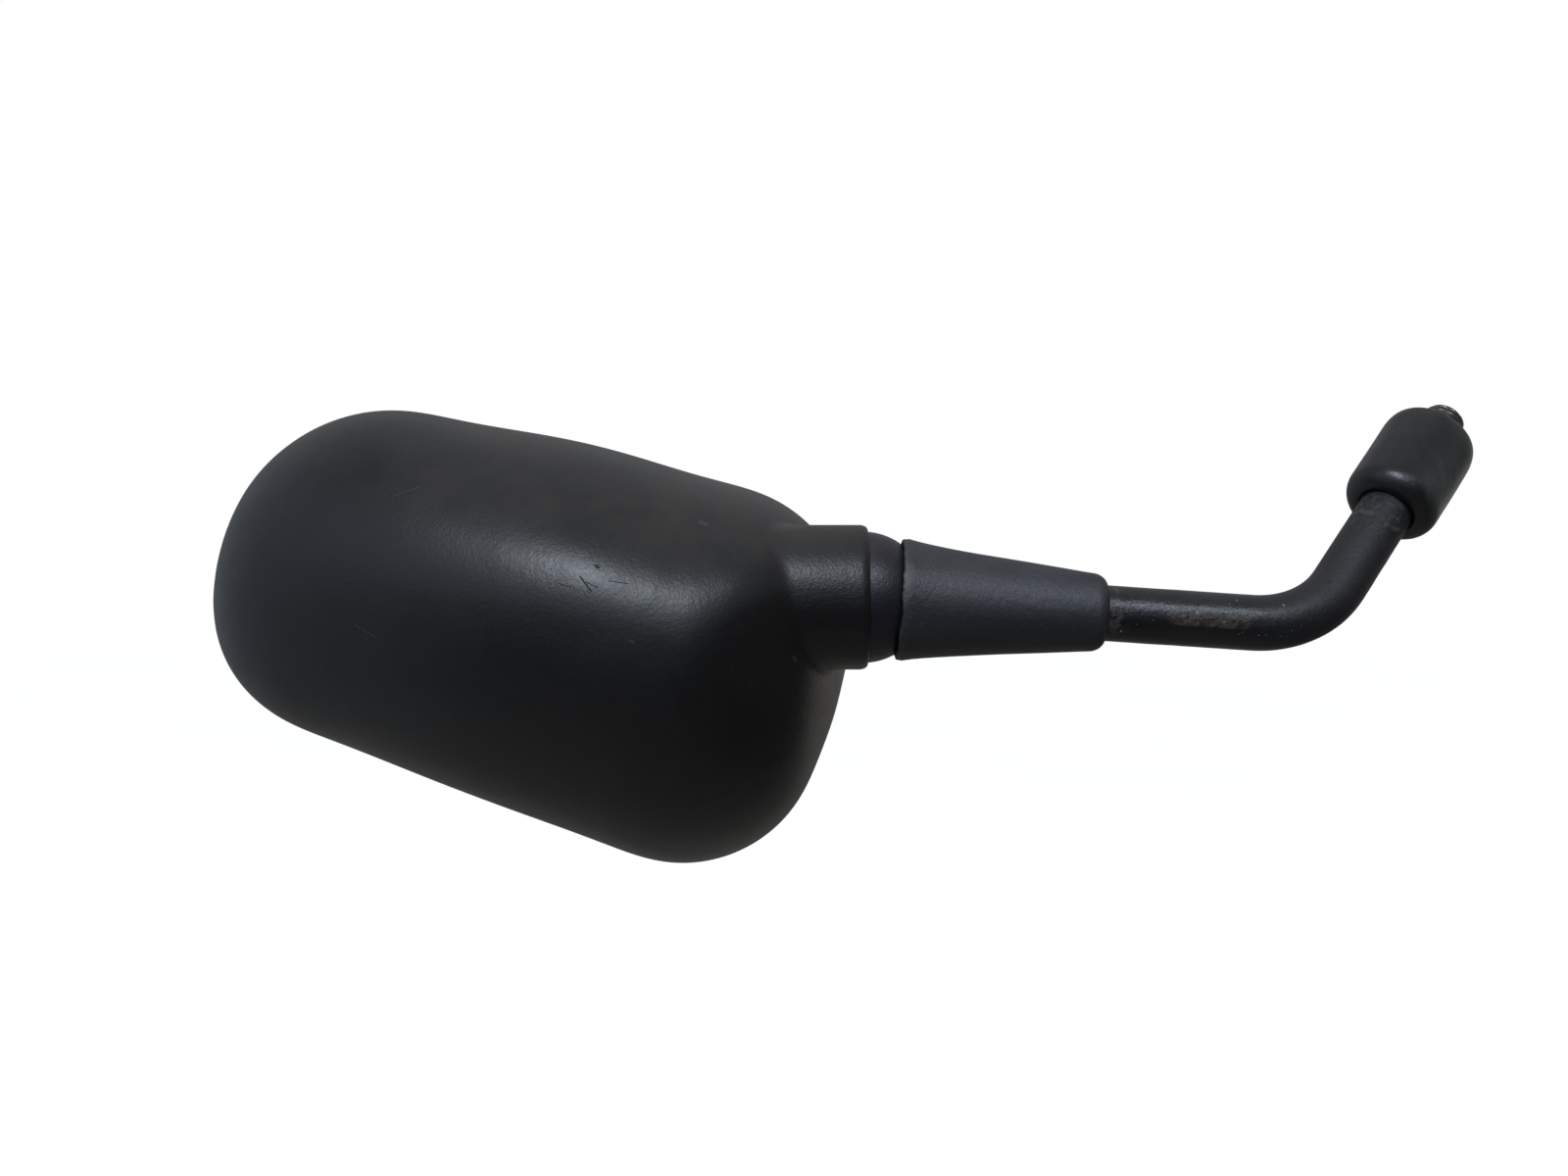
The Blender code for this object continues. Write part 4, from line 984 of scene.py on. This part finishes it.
def boot_piece():
    seg = 120
    lip_in = math.sqrt(15.25 ** 2 - CONE_START ** 2)
    prof = [(8.12, lip_in + 0.1)] + [(8.15, 13.25), (8.3, 13.6), (8.6, 13.75), (8.95, 13.72)]
    s = 9.6
    while s < 51.4:
        prof.append((s, cone_r(s)))
        s += 1.1
    for k in range(1, 13):
        a = math.pi / 2 * k / 12
        prof.append((51.6 + 3.3 * math.sin(a), cone_r(51.6) - 2.3 + 2.3 * math.cos(a)))
    prof += [(54.95, 6.75), (54.6, 6.65)]
    prof += [(s, 6.65) for s in (50.0, 44.0, 38.0, 32.0, 26.0, 20.0, 14.2)]
    a0 = math.degrees(math.asin(6.65 / 15.25))
    a1 = math.degrees(math.acos((CONE_START + 0.1) / 15.25))
    prof += arc(0, 0, 15.25, a0 + 1, a1, 14)

    def warp(z, r, a):
        near = np.clip((12.0 - z) / 3.6, 0, 1) * (r > 12.4)
        ragged = np.array([noise.noise(Vector((math.cos(t) * 3.1, math.sin(t) * 3.1, 4.2)))
                           + 0.5 * noise.noise(Vector((math.cos(t) * 9, math.sin(t) * 9, 1.2)))
                           for t in a])
        far = np.clip((z - 44.0) / 10.0, 0, 1)
        slack = np.array([noise.noise(Vector((math.cos(t) * 1.3, math.sin(t) * 1.3, 7.7)))
                          for t in a])
        swell = np.array([noise.noise(Vector((math.cos(t) * 1.2, math.sin(t) * 1.2, zz * 0.06)))
                          for zz, t in zip(z, a)])
        outer = (r > 7.2)
        return (z + near * (0.36 * ragged + 0.08) + far * outer * 0.25 * slack,
                r + outer * (0.10 * swell + near * 0.09 * ragged))
    return turned_verts(prof, seg, frame_at(BALL, stem_dir), warp)


v, f = boot_piece()
piece("rubber_boot", v, f, ["rubber"], "stem", "boot_cone")


def cover_piece():
    prof = [(19.4, 9.7), (8.5, 9.7), (8.4, 9.78)]
    for k in range(1, 13):
        a = math.pi / 2 * k / 12
        prof.append((13.0 - 4.6 * math.cos(a), 9.82 + 1.38 * math.sin(a)))
    for k in range(0, 17):
        a = math.pi / 2 * k / 16
        prof.append((30.4 + 4.4 * math.sin(a), 7.35 + 3.85 * math.cos(a)))
    prof += [(34.8, 6.95), (34.65, 6.72), (34.3, 6.65), (20.6, 6.65)]
    prof = spaced(prof, 1.5)

    def warp(z, r, a):
        swell = np.array([noise.noise(Vector((math.cos(t) * 1.1, math.sin(t) * 1.1, zz * 0.07)))
                          for zz, t in zip(z, a)])
        return z, r + (r > 10) * 0.10 * swell
    return turned_verts(prof, 112, frame_at(Vector((0, 0, 0)), -STUD_DIR), warp)


v, f = cover_piece()
piece("stud_cover", v, f, ["black_cover"], "stem", "nut_cover")


def stem_piece():
    """The bent rod and its threaded stud, with a bore for the ball's shank."""
    seg = 72
    rings, mats_of = [], []
    start, turn_axis = BALL, stem_dir.cross(STUD_DIR).normalized()
    angle = stem_dir.angle(STUD_DIR)
    cut = BEND_R * math.tan(angle / 2)
    corner = BALL + stem_dir * LEG1
    side = turn_axis.cross(stem_dir).normalized()

    def ring(centre, direction, radius, soft=0.0):
        z = direction
        x = turn_axis
        y = z.cross(x)
        out = []
        for i in range(seg):
            a = TAU * i / seg
            d = x * math.cos(a) + y * math.sin(a)
            r = radius
            if soft:
                p = (centre + d * radius)
                r += soft * noise.noise(p / 5.5) + 0.4 * soft * noise.noise(p / 1.6)
            out.append(centre + d * r)
        return [tuple(p) for p in out]

    # bore, near end face and the rod
    s = SHANK_END + 0.4
    rings.append(ring(BALL + stem_dir * s, stem_dir, BORE_R - 0.25))
    rings.append(ring(BALL + stem_dir * s, stem_dir, BORE_R))
    for s in (24.0, 20.0, ROD_START + 0.4):
        rings.append(ring(BALL + stem_dir * s, stem_dir, BORE_R))
    rings.append(ring(BALL + stem_dir * ROD_START, stem_dir, BORE_R + 0.3))
    rings.append(ring(BALL + stem_dir * ROD_START, stem_dir, ROD_R - 0.5))
    s = ROD_START + 0.5
    while s < LEG1 - cut - 0.6:
        rings.append(ring(BALL + stem_dir * s, stem_dir, ROD_R, 0.035 if s > 50 else 0))
        s += 1.0
    centre = BALL + stem_dir * (LEG1 - cut) + side * BEND_R
    steps = 26
    for k in range(steps + 1):
        t = angle * k / steps
        d = (Matrix.Rotation(t, 3, turn_axis) @ stem_dir)
        rings.append(ring(centre + Matrix.Rotation(t, 3, turn_axis) @ (-side * BEND_R), d, ROD_R, 0.035))
    left = LEG2 - cut                             # from the bend's end to the tip
    s = 1.0
    while s < left - STUD_LEN - 0.6:
        rings.append(ring(corner + STUD_DIR * (cut + s), STUD_DIR, ROD_R, 0.035))
        s += 1.0
    shoulder = -STUD_DIR * STUD_LEN
    rings.append(ring(shoulder - STUD_DIR * 0.4, STUD_DIR, ROD_R))
    rings.append(ring(shoulder, STUD_DIR, ROD_R - 0.4))
    painted = len(rings) - 1
    # a rolled thread that runs out at the shoulder and at the chamfered tip
    minor, per = 4.13, 12
    count = int((STUD_LEN - 0.15) / PITCH * per)
    for k in range(count + 1):
        t = STUD_LEN - 0.02 - (STUD_LEN - 0.1) * k / count     # distance from the tip
        pts = []
        for i in range(seg):
            a = TAU * i / seg
            w = (t / PITCH + i / seg) % 1.0
            tri = abs(w - 0.5) * 2
            h = min(1.0, max(0.0, (tri - 0.14) / 0.72))
            r = minor + (STUD_R - minor) * h
            tip = 4.0 + max(0.0, t - 0.08) * 1.0
            run = min(1.0, max(0.0, (t - (STUD_LEN - 1.8)) / 1.2))
            r = r + (STUD_R - 0.15 - r) * run
            r = min(r, tip)
            x = turn_axis
            y = STUD_DIR.cross(x)
            c = -STUD_DIR * t
            pts.append(tuple(c + (x * math.cos(a) + y * math.sin(a)) * r))
        rings.append(pts)
    pole = tuple(-STUD_DIR * 0.02)
    bottom = tuple(BALL + stem_dir * (SHANK_END + 0.4))
    v, f = skin(np.array(rings), False, bottom, pole)
    rows = len(rings)
    which = [0 if i // seg < painted else 1 for i in range((rows - 1) * seg)]
    which += [0] * seg + [1] * seg
    return v, f, which


v, f, which = stem_piece()
piece("stem_tube", v, f, ["black_paint", "stud_steel"], "stem", "stem_rod",
      38.0, which)


# --------------------------------------------------------- floor and lighting
def floor_material():
    n = Nodes("pale_floor")
    n.bsdf.inputs["Specular IOR Level"].default_value = 0.1
    cloud = n.noise(1.3, 4.0, 0.5)
    fine = n.noise(160.0, 3.0, 0.6)
    tone = n.mix(n.ramp(n.plus(n.math('MULTIPLY', cloud, 0.7), n.math('MULTIPLY', fine, 0.3)),
                        0.3, 0.7), (0.86, 0.86, 0.865), (0.90, 0.90, 0.90))
    n.to("Base Color", tone)
    n.to("Emission Color", tone)
    n.bsdf.inputs["Emission Strength"].default_value = FLOOR_GLOW
    n.to("Roughness", n.ramp(fine, 0.3, 0.7, 0.85, 0.95))
    n.to("Normal", n.bump(fine, 0.0004, 0.4))
    return n.mat


FLOOR_Z, FLOOR_GLOW = -0.40, 0.79
bm = bmesh.new()
bmesh.ops.create_grid(bm, x_segments=40, y_segments=40, size=30.0)
me = bpy.data.meshes.new("floor")
bm.to_mesh(me)
bm.free()
floor = bpy.data.objects.new("floor", me)
bpy.context.scene.collection.objects.link(floor)
floor.location = (0, 0, FLOOR_Z)
me.materials.append(floor_material())
floor.visible_glossy = False
floor.visible_diffuse = False

scene = bpy.context.scene
scene.view_settings.view_transform = 'Standard'
scene.view_settings.look = 'None'
world = bpy.data.worlds.new("studio")
scene.world = world
world.use_nodes = True
wt = world.node_tree
wt.nodes.clear()


def wn(kind, **props):
    node = wt.nodes.new(kind)
    for k, val in props.items():
        setattr(node, k, val)
    return node


def wmath(op, a, b=0.0, clamp=False):
    n = wn("ShaderNodeMath", operation=op, use_clamp=clamp)
    for s, val in zip(n.inputs, (a, b)):
        if isinstance(val, (int, float)):
            s.default_value = val
        else:
            wt.links.new(val, s)
    return n.outputs[0]


def wramp(value, lo, hi, a=0.0, b=1.0):
    n = wn("ShaderNodeMapRange", interpolation_type='SMOOTHSTEP')
    for k, val in (("From Min", lo), ("From Max", hi), ("To Min", a), ("To Max", b)):
        n.inputs[k].default_value = val
    wt.links.new(value, n.inputs["Value"])
    return n.outputs["Result"]


coord = wn("ShaderNodeTexCoord")
split = wn("ShaderNodeSeparateXYZ")
wt.links.new(coord.outputs["Generated"], split.inputs[0])
X, Y, Z = split.outputs
# the studio: a broad soft ceiling, a blue-grey left side, a dark lower front
ceiling = wramp(Z, 0.0, 0.55)
behind = wramp(Y, 0.30, 0.95)
left = wramp(X, -0.30, -0.95)
right = wramp(X, 0.55, 1.0)
rim = wmath('ADD', wmath('ADD', wmath('MULTIPLY', left, 0.26), wmath('MULTIPLY', right, 0.03)),
            wmath('MULTIPLY', behind, 0.15))
glow = wmath('MULTIPLY', wmath('MULTIPLY', wramp(Z, -0.17, 0.30), wramp(Z, 0.85, 0.45)),
             wmath('MULTIPLY', wramp(X, 0.45, 0.08), wramp(Y, 0.0, -0.6)))
# a lighter patch of the room behind, which the glass shows
patch = wmath('ADD', wmath('ADD', wmath('MULTIPLY', X, 0.706), wmath('MULTIPLY', Y, 0.706)),
              wmath('MULTIPLY', Z, -0.05))
patch = wramp(patch, 0.93, 1.0)
ground = wramp(Z, -0.62, -0.92)
level = wmath('ADD', wmath('ADD', wmath('MULTIPLY', ceiling, 0.265),
                           wmath('ADD', wmath('MULTIPLY', glow, 0.40),
                                 wmath('ADD', wmath('MULTIPLY', patch, 0.34), wmath('MULTIPLY', ground, 0.10)))),
              wmath('ADD', 0.055, wmath('MULTIPLY', rim, wmath('SUBTRACT', 1.0, wmath('MULTIPLY', ceiling, 0.55)))))
cool = wn("ShaderNodeMix", data_type='RGBA')
wt.links.new(ceiling, cool.inputs[0])
cool.inputs[6].default_value = (1.03, 1.0, 0.96, 1)
cool.inputs[7].default_value = (0.96, 0.99, 1.05, 1)
tint = wn("ShaderNodeMix", data_type='RGBA')
wt.links.new(left, tint.inputs[0])
wt.links.new(cool.outputs[2], tint.inputs[6])
tint.inputs[7].default_value = (0.86, 1.0, 1.15, 1)
cold = wn("ShaderNodeMix", data_type='RGBA')
wt.links.new(glow, cold.inputs[0])
wt.links.new(tint.outputs[2], cold.inputs[6])
cold.inputs[7].default_value = (0.84, 0.98, 1.19, 1)
studio = wn("ShaderNodeBackground")
wt.links.new(cold.outputs[2], studio.inputs["Color"])
wt.links.new(level, studio.inputs["Strength"])
plain = wn("ShaderNodeBackground")
plain.inputs["Color"].default_value = (1, 1, 1, 1)
plain.inputs["Strength"].default_value = 1.0
path = wn("ShaderNodeLightPath")
pick = wn("ShaderNodeMixShader")
wt.links.new(path.outputs["Is Camera Ray"], pick.inputs[0])
wt.links.new(studio.outputs[0], pick.inputs[1])
wt.links.new(plain.outputs[0], pick.inputs[2])
wout = wn("ShaderNodeOutputWorld")
wt.links.new(pick.outputs[0], wout.inputs["Surface"])


def area(name, at, towards, size, power, colour=(1, 1, 1)):
    data = bpy.data.lights.new(name, 'AREA')
    data.shape = 'RECTANGLE'
    data.size, data.size_y = size
    data.energy = power
    data.color = colour
    ob = bpy.data.objects.new(name, data)
    bpy.context.scene.collection.objects.link(ob)
    ob.location = at
    ob.rotation_euler = (Vector(towards) - Vector(at)).to_track_quat('-Z', 'Y').to_euler()
    return ob


head_at = (BALL + Vector((-55, 0, 0))) * MM
el, az, dist = math.radians(41.5), math.radians(-7.0), 0.75
key_at = head_at + Vector((math.sin(az) * math.cos(el), -math.cos(az) * math.cos(el),
                           math.sin(el))) * dist
area("key", key_at, head_at, (0.13, 0.115), 2.25, (0.90, 0.98, 1.10))
area("top", (-0.1, 0.15, 1.5), (-0.1, 0.0, 0.0), (1.3, 1.3), 1.2)

# a strip for the boot and the stem alone
stem_at = (BALL + Vector((75, 0, -6))) * MM
strip_at = (BALL + Vector((245, 0, 0))) * MM + Vector((0, -math.cos(el), math.sin(el))) * dist
strip = area("strip", strip_at, stem_at, (0.44, 0.10), 1.75, (0.90, 0.97, 1.12))
lit = bpy.data.collections.new("strip_lit")
for name in ("neck_dome", "rubber_boot", "stem_tube"):
    lit.objects.link(bpy.data.objects[name])
strip.light_linking.receiver_collection = lit
weak = area("strip_cover", strip_at, stem_at, (0.44, 0.10), 0.7, (0.90, 0.97, 1.12))
lit = bpy.data.collections.new("strip_cover_lit")
lit.objects.link(bpy.data.objects["stud_cover"])
weak.light_linking.receiver_collection = lit
